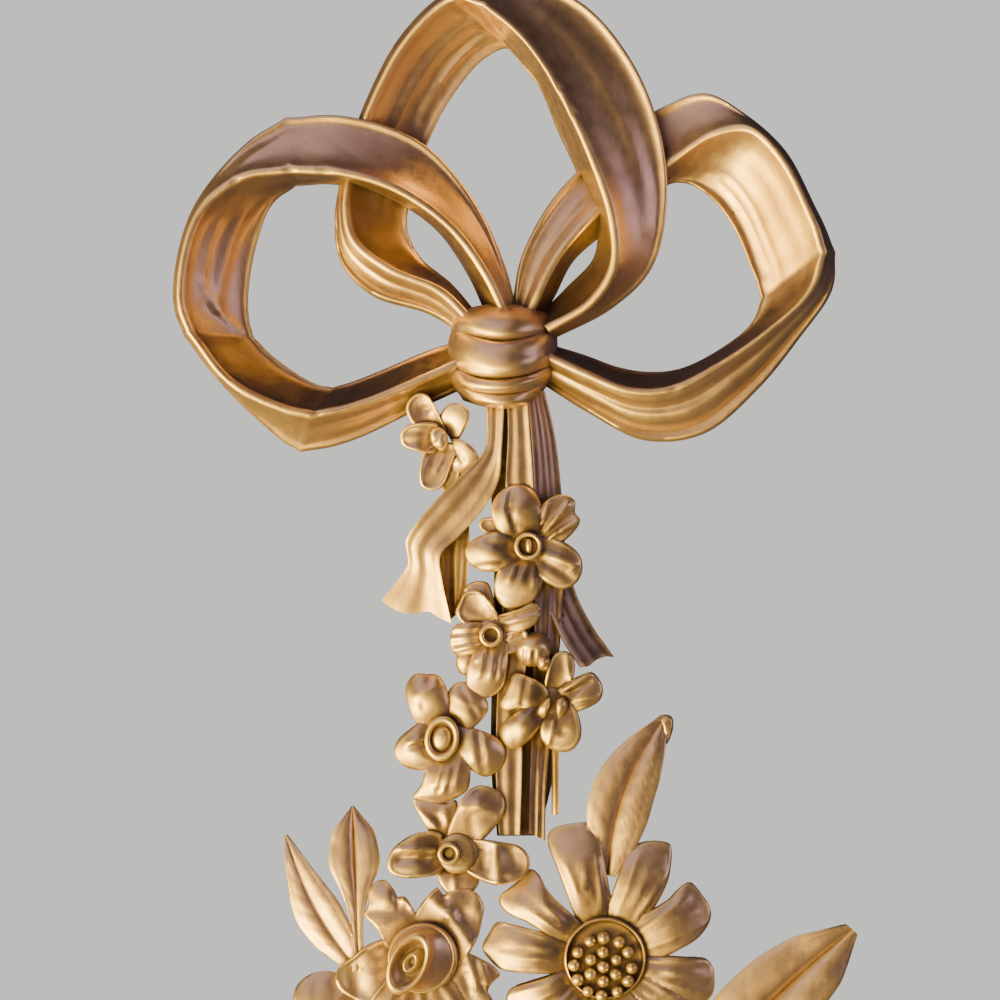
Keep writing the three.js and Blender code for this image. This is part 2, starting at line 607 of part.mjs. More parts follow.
const geometry = new THREE.BufferGeometry();
geometry.setAttribute('position', new THREE.BufferAttribute(new Float32Array(solid.vertProperties), 3));
geometry.setIndex(new THREE.BufferAttribute(new Uint32Array(solid.triVerts), 1));
geometry.computeVertexNormals();

const accent = new THREE.Mesh(
  geometry,
  new THREE.MeshStandardMaterial({ color: 0xb98a4e, roughness: 0.38, metalness: 0.85 }),
);
accent.name = 'floral_wall_accent';

const group = new THREE.Group();
group.add(accent);

export default group;
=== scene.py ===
# %% [markdown]
# Floral wall accent
# The real object is one hard moulding, painted gold, washed with a dark glaze and rubbed back: a bow with
# three ribbon loops above a drop of flowers and leaves. We make it as a carver would, one raised form at a
# time, and then fuse all the forms into one closed mesh. First we load the imported model, because every
# piece has to sit in its frame, and we note its box, which the end sets beside our own.

import bpy
import numpy as np
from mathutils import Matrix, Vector


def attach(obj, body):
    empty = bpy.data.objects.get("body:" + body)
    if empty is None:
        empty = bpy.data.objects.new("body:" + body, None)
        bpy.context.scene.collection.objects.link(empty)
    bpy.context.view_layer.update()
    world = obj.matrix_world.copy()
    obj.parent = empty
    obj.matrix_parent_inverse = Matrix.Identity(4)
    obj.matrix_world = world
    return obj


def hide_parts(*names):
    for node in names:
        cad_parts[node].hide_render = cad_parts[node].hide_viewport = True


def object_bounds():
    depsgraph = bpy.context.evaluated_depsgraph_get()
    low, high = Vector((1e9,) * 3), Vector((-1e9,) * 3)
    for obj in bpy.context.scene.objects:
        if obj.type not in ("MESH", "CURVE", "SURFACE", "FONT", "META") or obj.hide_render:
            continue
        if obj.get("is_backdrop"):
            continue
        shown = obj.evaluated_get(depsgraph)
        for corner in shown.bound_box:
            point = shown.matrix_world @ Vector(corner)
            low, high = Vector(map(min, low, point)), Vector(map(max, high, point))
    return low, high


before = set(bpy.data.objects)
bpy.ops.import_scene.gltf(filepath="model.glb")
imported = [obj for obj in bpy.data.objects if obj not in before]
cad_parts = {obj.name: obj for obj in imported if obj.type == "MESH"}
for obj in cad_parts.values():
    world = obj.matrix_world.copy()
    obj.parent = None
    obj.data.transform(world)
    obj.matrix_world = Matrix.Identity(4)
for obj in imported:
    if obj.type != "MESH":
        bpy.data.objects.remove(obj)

packed_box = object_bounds()
print("packed box in metres:", [tuple(round(v, 4) for v in corner) for corner in packed_box])

# %% [markdown]
# The squared drawing
# Carvers set out flowing forms on a squared drawing. So do we: a place is counted in squares across
# and up from the middle of the knot, and "out" is how far it stands off the wall, in squares too.
# Every shape below is an array of such points, and only at the end does it become metres.

# %% Squares and small helpers
SQUARE = 0.0035  # metres in one square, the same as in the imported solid
BEHIND = -0.9  # forms start this far behind the wall plane and are sawn off flat in it later
OUT = 2  # column of an array of points that holds how far they stand out


def to_metres(points):
    """Points as [across, up, out] in squares, turned into metres in the shared frame."""
    return np.stack([points[..., 0], -points[..., 2], points[..., 1]], axis=-1) * SQUARE


def mix(start, end, share):
    return start + (end - start) * share


def ease(start, end, values):
    """0 before start, 1 after end, and a smooth rise between them."""
    share = np.clip((values - start) / (end - start), 0, 1)
    return share * share * (3 - 2 * share)


def bump(values, middle, width):
    """A rounded swelling of height 1 round the middle."""
    return np.exp(-(((values - middle) / width) ** 2))


def step_round(centre, degrees, distance):
    turn = np.radians(degrees)
    return np.array([centre[0] + np.cos(turn) * distance, centre[1] + np.sin(turn) * distance])


# %% [markdown]
# Closed bodies
# A Boolean union only works on closed bodies. A raised form is a grid of points for its face, a wall
# down from its border to behind the wall plane, and the same grid again as its back. Everything behind
# the plane is sawn off later, so the back costs nothing in the end. Forms that were turned, such as
# the eyes of the flowers, are a profile swept round an axis instead.

# %% Closed bodies from grids
LATTICE = 64  # random values along each side of the waviness, before it repeats
WAVINESS = [(0.035, 2.3, 3), (0.015, 0.8, 5)]  # height and size of the lumps in squares, and their seed
LIP = 0.3  # squares that the side of a petal or a leaf falls under its rim, before it goes back
raised_work = []  # the closed bodies that will be fused


def grid_triangles(rows, columns, first=0, around=False):
    """Triangles of a grid whose points are numbered row by row from first."""
    row, column = np.meshgrid(np.arange(rows - 1), np.arange(columns if around else columns - 1))
    row, column = row.ravel(), column.ravel()
    ahead = (column + 1) % columns
    a = first + row * columns + column
    b = first + (row + 1) * columns + column
    c = first + (row + 1) * columns + ahead
    d = first + row * columns + ahead
    return np.concatenate([np.stack([a, b, c], 1), np.stack([a, c, d], 1)])


def keep(name, corners, triangles, wash_and_shade=0.0):
    """Face a closed body outwards and keep it as an object for the fusing. The last argument says how heavily
    the dark wash lies on each corner, from 0 to 1, a wash that is mostly painted shade; it is stored with 1
    added, so that 0 is left for the corners that the fusing will make."""
    a, b, c = (corners[triangles[:, i]] for i in range(3))
    if np.einsum("ij,ij->", a, np.cross(b, c)) < 0:
        triangles = triangles[:, ::-1]
    mesh = bpy.data.meshes.new(name)
    mesh.from_pydata(to_metres(corners).tolist(), [], triangles.tolist())
    stored = 1 + np.broadcast_to(np.asarray(wash_and_shade, np.float32), len(corners))
    mesh.attributes.new("wash_and_shade", "FLOAT", "POINT").data.foreach_set("value", stored.astype(np.float32))
    raised_work.append(bpy.data.objects.new(name, mesh))


def unevenness(points, size, seed):
    """Gentle hand-made waviness over the whole drawing, from -1 to 1, with lumps of this size."""
    lattice = np.random.default_rng(seed).uniform(-1, 1, (LATTICE, LATTICE))
    across, up = points[..., 0] / size, points[..., 1] / size
    column, row = np.floor(across).astype(int), np.floor(up).astype(int)
    x, y = ease(0, 1, across - column), ease(0, 1, up - row)
    corner = lambda i, j: lattice[(row + i) % LATTICE, (column + j) % LATTICE]
    return mix(mix(corner(0, 0), corner(0, 1), x), mix(corner(1, 0), corner(1, 1), x), y)


def raised(name, face, foot_in=0.0, centre=None, lip=0.0, wash_and_shade=0.0):
    """A form with this face. foot_in draws its foot in, towards centre or its own middle line. lip is
    how far the side falls under the rim before it goes back to the wall."""
    face = face.copy()
    face[..., OUT] += sum(height * unevenness(face, size, seed) for height, size, seed in WAVINESS)
    rows, columns = face.shape[:2]
    if centre is None:
        middle = (face[:, :1] + face[:, -1:]) / 2
        middle = middle[np.clip(np.arange(rows), 1, rows - 2)]
    else:
        middle = np.array([centre[0], centre[1], 0.0])
    foot = mix(face, middle, foot_in)
    foot[..., OUT] = BEHIND
    number = np.arange(rows * columns).reshape(rows, columns)
    border = np.concatenate([number[:, 0], number[-1, 1:], number[-2::-1, -1], number[0, -2:0:-1]])
    ledge = mix(face, middle, foot_in * 0.2).reshape(-1, 3)[border]
    ledge[:, OUT] -= lip
    front = rows * columns
    back = front + len(border)
    ring = front + np.arange(len(border))
    ahead = np.roll(np.arange(len(border)), -1)
    walls = [
        np.stack([border, ring, ring[ahead]], 1),
        np.stack([border, ring[ahead], border[ahead]], 1),
        np.stack([ring, back + border, back + border[ahead]], 1),
        np.stack([ring, back + border[ahead], ring[ahead]], 1),
    ]
    face_side = grid_triangles(rows, columns)
    back_side = grid_triangles(rows, columns, back)[:, ::-1]
    corners = np.concatenate([face.reshape(-1, 3), ledge, foot.reshape(-1, 3)])
    wash_and_shade = np.broadcast_to(wash_and_shade, (rows, columns)).ravel()
    wash_and_shade = np.concatenate([wash_and_shade, wash_and_shade[border], wash_and_shade])
    keep(name, corners, np.concatenate([face_side, back_side, *walls]), wash_and_shade)


def turned(name, centre, profile, steps=32, spread=None, lean=(0, 0), shift=(0, 0), wash_and_shade=0.0):
    """A form turned on an axis through centre, from a profile of (radius, out) that starts on the
    axis in front and ends at the foot. spread gives the front's radius for every angle, as a share,
    and shift moves the front sideways."""
    angles = np.arange(steps) * 2 * np.pi / steps
    share = np.ones(steps) if spread is None else spread(angles)
    radius, out = np.array(profile).T
    forward = ease(0.72, 0.97, out / out.max())
    share = 1 + (share - 1) * forward[1:, None]
    rings = np.zeros((len(profile) - 1, steps, 3))
    rings[..., 0] = centre[0] + radius[1:, None] * np.cos(angles) * share
    rings[..., 1] = centre[1] + radius[1:, None] * np.sin(angles) * share
    tilt = lean[0] * (rings[..., 0] - centre[0]) + lean[1] * (rings[..., 1] - centre[1])
    rings[..., 0] += shift[0] * forward[1:, None]
    rings[..., 1] += shift[1] * forward[1:, None]
    rings[..., 2] = out[1:, None] + tilt * forward[1:, None]
    tip = [[centre[0] + shift[0], centre[1] + shift[1], out[0]]]
    end = [[centre[0], centre[1], out[-1]]]
    corners = np.concatenate([tip, rings.reshape(-1, 3), end])
    ring = np.arange(steps)
    ahead = np.roll(ring, -1)
    last = 1 + (len(profile) - 2) * steps
    front = np.stack([np.zeros(steps, int), 1 + ring, 1 + ahead], 1)
    back = np.stack([np.full(steps, len(corners) - 1), last + ahead, last + ring], 1)
    sides = grid_triangles(len(profile) - 1, steps, 1, around=True)
    keep(name, corners, np.concatenate([front, back, sides]), wash_and_shade)


def rail(points, station):
    """A smooth curve through points, read at the stations, which count the points from 0."""
    points = np.asarray(points, float)
    padded = np.vstack([2 * points[0] - points[1], points, 2 * points[-1] - points[-2]])
    first = np.clip(station.astype(int), 0, len(points) - 2)
    share = (station - first)[:, None]
    p0, p1, p2, p3 = (padded[first + i] for i in range(4))
    gap = lambda a, b: np.maximum(((a - b) ** 2).sum(1), 1e-9)[:, None] ** 0.25
    g0, g1, g2 = gap(p0, p1), gap(p1, p2), gap(p2, p3)
    leaving = ((p1 - p0) / g0 - (p2 - p0) / (g0 + g1) + (p2 - p1) / g1) * g1
    arriving = ((p2 - p1) / g1 - (p3 - p1) / (g1 + g2) + (p3 - p2) / g2) * g1
    square, cube = share**2, share**3
    return (
        (2 * cube - 3 * square + 1) * p1
        + (cube - 2 * square + share) * leaving
        + (3 * square - 2 * cube) * p2
        + (cube - square) * arriving
    )


def smooth_profile(points, count):
    """More points on a smooth line through a few."""
    return rail(points, np.linspace(0, len(points) - 1, count))


# %% [markdown]
# Ribbon loops
# Each loop is a ribbon seen on edge: from its rolled front edge, the crest, one face slopes back to
# the inner edge and the other to the outer edge. We give the three marks at some stations along the
# ribbon, draw a smooth rail through each, and stretch a fine cross-section between the rails: a
# shallow trough or gathered folds, a thin raised rim at every edge, and a few creases pressed in.

# %% Stations of the three loops
# Each station has its inner edge, its crest, its outer edge, and how far out each of the three is.
LEFT_LOOP = [
    ((-1.8, 4.3), (0.4, 3.5), (1.5, 4.1), (1.0, 5.2, 3.4)),
    ((-3.5, 8.0), (-1.9, 8.3), (0.3, 8.7), (1.2, 5.8, 3.4)),
    ((-6.7, 12.6), (-5.3, 12.7), (-2.5, 14.9), (1.2, 6.4, 3.6)),
    ((-11.1, 15.6), (-10.3, 16.3), (-7.9, 21.1), (1.2, 6.8, 3.8)),
    ((-16.1, 17.1), (-15.8, 18.1), (-15.1, 23.8), (1.2, 6.8, 3.8)),
    ((-20.8, 17.1), (-21.3, 18.5), (-21.8, 23.8), (1.0, 6.6, 3.4)),
    ((-23.3, 15.1), (-26.3, 17.6), (-26.5, 20.5), (0.8, 6.4, 3.8)),
    ((-24.7, 11.5), (-30.3, 14.3), (-30.9, 14.9), (0.8, 6.2, 4.6)),
    ((-25.5, 7.5), (-32.0, 9.3), (-32.7, 9.2), (0.8, 6.2, 4.8)),
    ((-25.6, 4.3), (-32.2, 5.0), (-32.9, 4.8), (0.8, 6.2, 4.8)),
    ((-25.1, 1.9), (-31.3, 2.3), (-31.9, 1.9), (0.8, 6.0, 4.4)),
    ((-22.3, -0.7), (-27.5, -2.5), (-28.1, -3.0), (0.8, 5.8, 4.0)),
    ((-18.9, -2.8), (-22.3, -5.2), (-23.1, -7.8), (0.8, 5.6, 2.2)),
    ((-17.1, -3.2), (-19.1, -6.0), (-20.3, -9.7), (0.8, 5.4, 1.6)),
    ((-13.3, -1.9), (-14.3, -4.9), (-15.1, -8.5), (0.8, 5.2, 1.6)),
    ((-7.3, 0.6), (-7.8, -2.3), (-8.3, -5.3), (1.0, 5.0, 1.6)),
    ((-3.3, 1.8), (-3.3, -0.3), (-3.3, -3.0), (1.0, 4.6, 1.6)),
]
TOP_LOOP = [
    ((-1.3, 2.6), (-2.3, 2.4), (-2.9, 1.2), (1.0, 4.4, 1.6)),
    ((-5.1, 7.2), (-6.3, 6.4), (-7.3, 4.1), (0.8, 4.8, 1.6)),
    ((-8.3, 9.9), (-11.5, 8.7), (-13.1, 6.0), (0.8, 5.0, 1.6)),
    ((-9.6, 12.7), (-15.1, 11.7), (-16.2, 9.1), (0.8, 4.6, 1.6)),
    ((-9.2, 16.5), (-15.8, 15.0), (-16.9, 13.5), (0.8, 4.2, 2.2)),
    ((-7.8, 20.8), (-15.0, 20.0), (-15.9, 19.3), (0.8, 3.4, 2.4)),
    ((-5.5, 25.5), (-12.9, 25.8), (-13.6, 25.9), (0.8, 3.8, 2.8)),
    ((-2.0, 29.8), (-9.5, 31.7), (-10.1, 32.2), (0.8, 4.8, 3.6)),
    ((0.5, 30.9), (-5.1, 35.5), (-5.5, 36.3), (0.8, 5.8, 4.6)),
    ((1.7, 29.5), (-2.1, 34.9), (0.7, 37.6), (0.8, 6.8, 4.6)),
    ((3.7, 26.9), (1.9, 31.5), (7.7, 35.3), (0.8, 7.2, 4.4)),
    ((5.4, 22.8), (5.7, 26.0), (12.7, 29.7), (0.8, 7.4, 4.2)),
    ((7.6, 18.0), (8.9, 19.5), (15.7, 22.5), (0.8, 7.4, 4.2)),
    ((9.4, 13.2), (10.9, 13.5), (16.4, 15.0), (0.8, 7.2, 4.0)),
    ((9.1, 9.9), (11.0, 8.7), (14.9, 8.7), (0.8, 6.8, 3.6)),
    ((6.3, 6.8), (8.7, 5.1), (10.9, 4.7), (1.0, 6.0, 3.4)),
    ((3.2, 3.7), (4.4, 2.6), (4.9, 1.6), (1.0, 5.0, 3.0)),
]
RIGHT_LOOP = [
    ((3.6, 3.2), (2.3, 3.4), (0.9, 3.4), (1.0, 4.0, 2.6)),
    ((5.2, 5.9), (3.4, 5.9), (1.1, 6.3), (1.0, 4.4, 3.0)),
    ((7.1, 9.5), (5.3, 9.7), (1.9, 10.1), (0.8, 4.4, 2.8)),
    ((10.5, 12.5), (8.9, 13.9), (5.2, 16.0), (0.8, 3.8, 2.2)),
    ((14.5, 15.5), (13.3, 17.2), (10.9, 21.5), (0.8, 3.3, 1.6)),
    ((16.9, 17.3), (17.1, 19.6), (16.1, 25.0), (0.8, 3.6, 1.6)),
    ((18.9, 17.2), (20.9, 22.0), (20.2, 26.3), (0.8, 4.8, 2.2)),
    ((21.3, 15.5), (24.7, 22.5), (23.9, 24.4), (0.8, 5.6, 3.6)),
    ((23.3, 12.7), (27.7, 19.7), (28.2, 20.5), (0.8, 6.0, 4.6)),
    ((24.9, 8.9), (30.3, 14.7), (31.1, 15.1), (0.8, 6.2, 4.6)),
    ((26.0, 5.7), (31.9, 10.3), (33.3, 10.3), (0.8, 6.2, 3.4)),
    ((24.9, 3.2), (30.5, 6.3), (33.0, 6.5), (0.8, 5.8, 2.4)),
    ((21.5, 0.5), (26.7, 2.7), (29.9, 1.9), (0.8, 5.4, 1.8)),
    ((17.7, -1.3), (21.9, -0.7), (25.5, -3.5), (0.8, 5.2, 1.6)),
    ((14.5, -1.6), (16.9, -3.4), (20.1, -7.9), (0.8, 5.2, 1.6)),
    ((11.5, -1.1), (12.7, -3.6), (14.2, -8.5), (0.8, 5.2, 1.6)),
    ((8.2, 0.1), (8.5, -2.0), (8.5, -5.7), (0.8, 5.0, 1.6)),
    ((4.2, 1.3), (4.2, 0.0), (4.2, -3.0), (1.0, 4.6, 1.6)),
]
print("stations:", len(LEFT_LOOP), len(TOP_LOOP), len(RIGHT_LOOP))

# %% The ribbon's cross-section
ROWS_PER_STATION = 10
RIM_HALF = 0.457  # half the width of the rolled front edge
RIM_RISE = 0.24  # how far a rolled edge swells above its face
FACE_TROUGH = 0.11  # depth of a plain face's trough, as a share of the face's width
TROUGH_POWER = 3.2  # the higher, the flatter the trough's floor and the steeper its sides
INNER_SHARES = np.concatenate([[0, 0.02, 0.045, 0.08], np.linspace(0.13, 0.96, 13)])
RIM_SHARES = np.linspace(-1, 1, 7)
OUTER_SHARES = np.concatenate([np.linspace(0.05, 0.88, 15), [0.93, 0.965, 0.985, 1]])


def on_wall(a, b):
    """The distance between two rails along the wall."""
    return np.hypot(*(b - a)[:, :OUT].T)


def mark_rail(stations, mark, station, corners):
    """The rail through one mark of all stations, smooth but for the stations that are corners."""
    marks = [(*place[mark], place[3][mark]) for place in stations]
    smooth = rail(marks, station)
    straight = np.stack([np.interp(station, range(len(marks)), line) for line in zip(*marks)], 1)
    sharpness = sum(bump(station, corner, 0.55) for corner in corners) if corners else 0 * station
    return mix(smooth, straight, np.clip(sharpness, 0, 1)[:, None])


def creased(station, share, width, creases):
    """Height of the creases on a face: long soft folds that run from one station to another."""
    height = np.zeros((len(station), len(share)))
    for start, end, share_start, share_end, half, rise in creases:
        along = np.clip((station - start) / (end - start), 0, 1)
        line = mix(share_start, share_end, along)
        fade = np.sin(np.pi * along) ** 0.5
        away = (share[None] - line[:, None]) * width[:, None]
        height += rise * fade[:, None] * bump(away, 0, half)
    return height


def ribbon_loop(name, stations, gathered, corners=(), inner_creases=(), outer_creases=(), nicks=(),
                inner_wash_and_shade=((0, 0),), outer_wash_and_shade=((0, 0),)):
    """gathered says how gathered the outer face is at each share of the loop, from 0 to 1. The last two
    arguments are marks of (station, wash) for the inner and the outer face; the wash is mostly painted shade."""
    count = len(stations) - 1
    station = np.linspace(0, count, count * ROWS_PER_STATION + 1)
    inner, crest, outer = (mark_rail(stations, mark, station, corners) for mark in range(3))
    inner_width, outer_width = on_wall(crest, inner), on_wall(crest, outer)
    inner_rim = np.minimum(RIM_HALF, inner_width * 0.4) / inner_width
    outer_rim = np.minimum(RIM_HALF, outer_width * 0.4) / outer_width
    rim_in = mix(crest, inner, inner_rim[:, None])
    rim_out = mix(crest, outer, outer_rim[:, None])
    rim_in[:, OUT] = rim_out[:, OUT] = crest[:, OUT]

    inner_face = mix(inner[:, None], rim_in[:, None], INNER_SHARES[None, :, None])
    trough = 1 - np.abs(2 * INNER_SHARES - 1) ** TROUGH_POWER
    width = on_wall(inner, rim_in)
    from_edge = INNER_SHARES[None] * width[:, None]
    inner_face[..., OUT] += -FACE_TROUGH * width[:, None] * trough + 0.16 * bump(from_edge, 0.17, 0.14)
    inner_face[..., OUT] += creased(station, INNER_SHARES, width, inner_creases)

    towards = np.where(RIM_SHARES[None, :, None] < 0, rim_in[:, None], rim_out[:, None])
    rim = mix(crest[:, None], towards, np.abs(RIM_SHARES)[None, :, None])
    nicked = sum(bump(station, nick, 0.06) for nick in nicks) if nicks else 0 * station
    bead = RIM_RISE * np.sqrt(1.02 - RIM_SHARES**2)[None] * (1 - 0.8 * np.clip(nicked, 0, 1))[:, None]
    rim[..., OUT] += bead

    outer_face = mix(rim_out[:, None], outer[:, None], OUTER_SHARES[None, :, None])
    width = on_wall(rim_out, outer)
    plain = -FACE_TROUGH * (1 - np.abs(2 * OUTER_SHARES - 1) ** TROUGH_POWER)
    folds = -0.16 + 0.2 * (np.cos(2 * np.pi * OUTER_SHARES) ** 2 + 0.01) ** 0.32
    folds *= np.minimum(1, np.minimum(OUTER_SHARES, 1 - OUTER_SHARES) * 8)
    profile = mix(plain[None], folds[None], gathered(station / count)[:, None])
    from_edge = (1 - OUTER_SHARES)[None] * width[:, None]
    edge_rim = np.minimum(1, width / 2)[:, None] * RIM_RISE * bump(from_edge, 0.28, 0.24)
    outer_face[..., OUT] += profile * width[:, None] + edge_rim
    outer_face[..., OUT] += creased(station, OUTER_SHARES, width, outer_creases)
    inside, outside = (np.interp(station, *zip(*marks)) for marks in (inner_wash_and_shade, outer_wash_and_shade))
    wash_and_shade = np.concatenate([
        inside[:, None] * ease(0.0, 0.3, INNER_SHARES)[None],
        np.zeros((len(station), len(RIM_SHARES))),
        outside[:, None] * (1 - ease(0.8, 0.95, OUTER_SHARES))[None],
    ], axis=1)
    raised(name, np.concatenate([inner_face, rim, outer_face], axis=1), wash_and_shade=wash_and_shade)


# %% The three loops
# A crease has its first and last station, its place across the face at both, its half-width and
# its rise, all but the stations and places in squares.
ribbon_loop(
    "left_loop",
    LEFT_LOOP,
    lambda share: ease(0.8, 0.86, share) * 0.5,
    corners=(5, 10, 13),
    inner_creases=[
        (5.9, 9.2, 0.38, 0.48, 0.6, 0.4),
        (6.2, 9.0, 0.68, 0.74, 0.5, 0.3),
        (8.2, 9.9, 0.75, 0.2, 0.5, 0.35),
    ],
    outer_creases=[(4.6, 6.2, 0.75, 0.35, 0.5, 0.25)],
    nicks=(4.35, 5.0, 6.1, 13.1),
    inner_wash_and_shade=[(0, 0.5), (3, 0.4), (5, 0.7), (6, 0.35), (9, 0.3), (10, 0.5), (10.3, 0.9), (16, 0.9)],
    outer_wash_and_shade=[(0, 0.45), (2.5, 0.25), (5, 0.0), (6, 0)],
)
ribbon_loop(
    "top_loop",
    TOP_LOOP,
    lambda share: 1 - ease(0.22, 0.36, share),
    corners=(9,),
    inner_creases=[
        (3.2, 5.2, 0.3, 0.35, 0.22, 0.25),
        (3.6, 5.6, 0.55, 0.6, 0.22, 0.25),
        (4.8, 8.4, 0.22, 0.3, 0.25, 0.4),
        (5.2, 8.8, 0.6, 0.55, 0.35, 0.32),
    ],
    outer_creases=[(9.5, 13.5, 0.5, 0.62, 0.8, 0.3)],
    nicks=(10.9, 11.3),
    inner_wash_and_shade=[(0, 0.8), (3.5, 0.75), (5, 0.45), (7, 0.25), (9, 0.2), (12, 0.4), (16, 0.7)],
    outer_wash_and_shade=[(9, 0.1), (10, 0.35), (13, 0.2), (16, 0.4)],
)
ribbon_loop(
    "right_loop",
    RIGHT_LOOP,
    lambda share: np.maximum(ease(0.55, 0.69, share), 0.5 * (1 - ease(0.18, 0.3, share))),
    corners=(10,),
    inner_creases=[
        (6.2, 10.2, 0.338, 0.338, 0.42, -0.4),
        (6.0, 9.6, 0.13, 0.13, 0.36, -0.3),
        (7.2, 10.2, 0.72, 0.8, 0.7, 0.22),
    ],
    nicks=(13.95,),
    inner_wash_and_shade=[(0, 0.5), (4, 0.4), (5.5, 0.2), (7, 0.0), (10, 0.0), (10.5, 0.75), (17, 0.9)],
    outer_wash_and_shade=[(0, 0.2), (4, 0.2), (6, 0.0), (8, 0.4), (10, 0.5), (11, 0.0)],
)
print("loops:", [(form.name, len(form.data.polygons)) for form in raised_work])

# %% [markdown]
# Knot
# The knot is a half barrel of ribbon wrapped four times, each wrap sagging in front. Its crests and
# the grooves between them are lines across it. We place those lines and round the surface between a
# crest and the next groove with a cosine, which gives full rolls with narrow grooves.

# %% The knot
KNOT_DEPTH = 8.29  # squares, at the fullest crest
KNOT_SIDE_DEPTH = 0.2  # the least that the barrel's sides stand out, as a share of its depth
# From the top down, crest and groove in turn: points of the line from left to right, and its depth as
# a share of the fullest one
KNOT_LINES = [
    ([(-4.9, 4.3), (-2.8, 4.9), (0, 5.2), (2.7, 4.9), (4.8, 4.1)], 0.35),
    ([(-5.1, 3.7), (-2.8, 2.7), (-0.8, 2.25), (1.7, 2.5), (4.9, 3.5)], 0.93),
    ([(-5.2, 2.7), (-2.6, 1.8), (-0.3, 1.4), (2.2, 1.7), (5.3, 2.7)], 0.82),
    ([(-5.6, 0.9), (-3.3, -0.3), (-0.8, -1.2), (2.2, -0.7), (5.5, 0.9)], 1.0),
    ([(-5.6, -0.8), (-2.8, -2.15), (-0.3, -2.4), (2.4, -2.0), (5.4, -0.8)], 0.83),
    ([(-5.6, -1.9), (-3.5, -2.9), (-0.3, -3.15), (2.7, -2.75), (5.2, -1.7)], 0.94),
    ([(-5.1, -3.1), (-2.6, -3.7), (-0.3, -3.95), (2.4, -3.6), (4.6, -2.8)], 0.82),
    ([(-4.4, -3.9), (-2.2, -4.5), (0.2, -4.75), (2.2, -4.4), (4.1, -3.5)], 0.87),
    ([(-4.0, -4.5), (-2.0, -5.1), (0.2, -5.4), (2.2, -5.0), (3.9, -4.1)], 0.6),
]
# Wrinkles: depth, row at the middle, how much the row changes to the right, half-width, and the two
# places across the knot between which the wrinkle comes up
KNOT_WRINKLES = [
    (0.2, 4.35, 0.25, 0.1, -0.2, 0.5),
    (0.14, 2.5, 0.5, 0.16, -0.6, 0.2),
    (0.12, 3.3, -0.5, 0.14, 0.3, -0.4),
]
ROWS_PER_WRAP = 7
KNOT_COLUMNS = 57


def knot():
    turn = np.pi * (1 - np.linspace(0, 1, KNOT_COLUMNS))
    front, side = np.sin(turn) ** 0.8, np.cos(turn)
    lines = []
    for points, _ in KNOT_LINES:
        curve = smooth_profile(points, 60)
        across = mix(points[0][0], points[-1][0], (side + 1) / 2)
        lines.append(np.concatenate([across, np.interp(across, curve[:, 0], curve[:, 1])]))
    rows = np.linspace(0, len(lines) - 1, (len(lines) - 1) * ROWS_PER_WRAP + 1)
    first = np.clip(rows.astype(int), 0, len(lines) - 2)
    share = rows - first
    # A roll is round at its crest and meets its neighbour in a sharp groove.
    to_groove = first % 2 == 1
    round_share = np.where(to_groove, 1 - np.sqrt(1 - share**2 * 0.98), np.sqrt(1 - (1 - share) ** 2 * 0.98))
    depths = np.array([depth for _, depth in KNOT_LINES])
    deep = mix(depths[first], depths[first + 1], np.clip(round_share, 0, 1))
    across, up = np.split(rail(lines, rows), 2, axis=1)
    out = np.maximum(KNOT_SIDE_DEPTH, front)[None] * KNOT_DEPTH * deep[:, None]
    wrinkles = 0
    for depth, row, slope, half, fade_start, fade_end in KNOT_WRINKLES:
        line = bump(rows[:, None], row + slope * side[None], half)
        wrinkles = wrinkles + depth * line * ease(fade_start, fade_end, side)[None]
    raised("knot", np.stack([across, up, out - wrinkles * front[None]], axis=-1))


knot()

# %% [markdown]
# Hanging ribbon
# Four or five widths of ribbon hang from the knot behind the flowers. They are strips between a left
# and a right edge, each with a thin raised rim down both sides. One turns out to the left and one to
# the right, and the others run straight down to where the big flowers begin.

# %% Strips
STRIP_COLUMNS = 13


def strip(name, marks, rows, trough=0.2, rim=0.12, end=None, folds=None, wash_and_shade=0.0):
    """marks hold the left edge, the right edge and how far out both are. end gives how far each
    place across the last row is let down, and folds lists (place across, half-width, rise)."""
    station = np.linspace(0, len(marks) - 1, rows)
    left = rail([(*mark[0], mark[2]) for mark in marks], station)
    right = rail([(*mark[1], mark[3] if len(mark) > 3 else mark[2]) for mark in marks], station)
    share = np.linspace(0, 1, STRIP_COLUMNS)
    share = mix(share, ease(0, 1, share), 0.5)
    face = mix(left[:, None], right[:, None], share[None, :, None])
    width = on_wall(left, right)
    from_edge = np.minimum(share, 1 - share)[None] * width[:, None]
    face[..., OUT] += -trough * (1 - np.abs(2 * share - 1) ** 2.5)[None] + rim * bump(from_edge, 0.15, 0.16)
    for place, half, rise in folds or ():
        face[..., OUT] += rise * bump(share, place, half)[None]
    if end:
        let_down = np.interp(share, np.linspace(0, 1, len(end)), end)
        closeness = ease(0.72, 1, np.linspace(0, 1, rows)) ** 2
        face[..., 1] -= closeness[:, None] * let_down[None]
    raised(name, face, wash_and_shade=wash_and_shade)
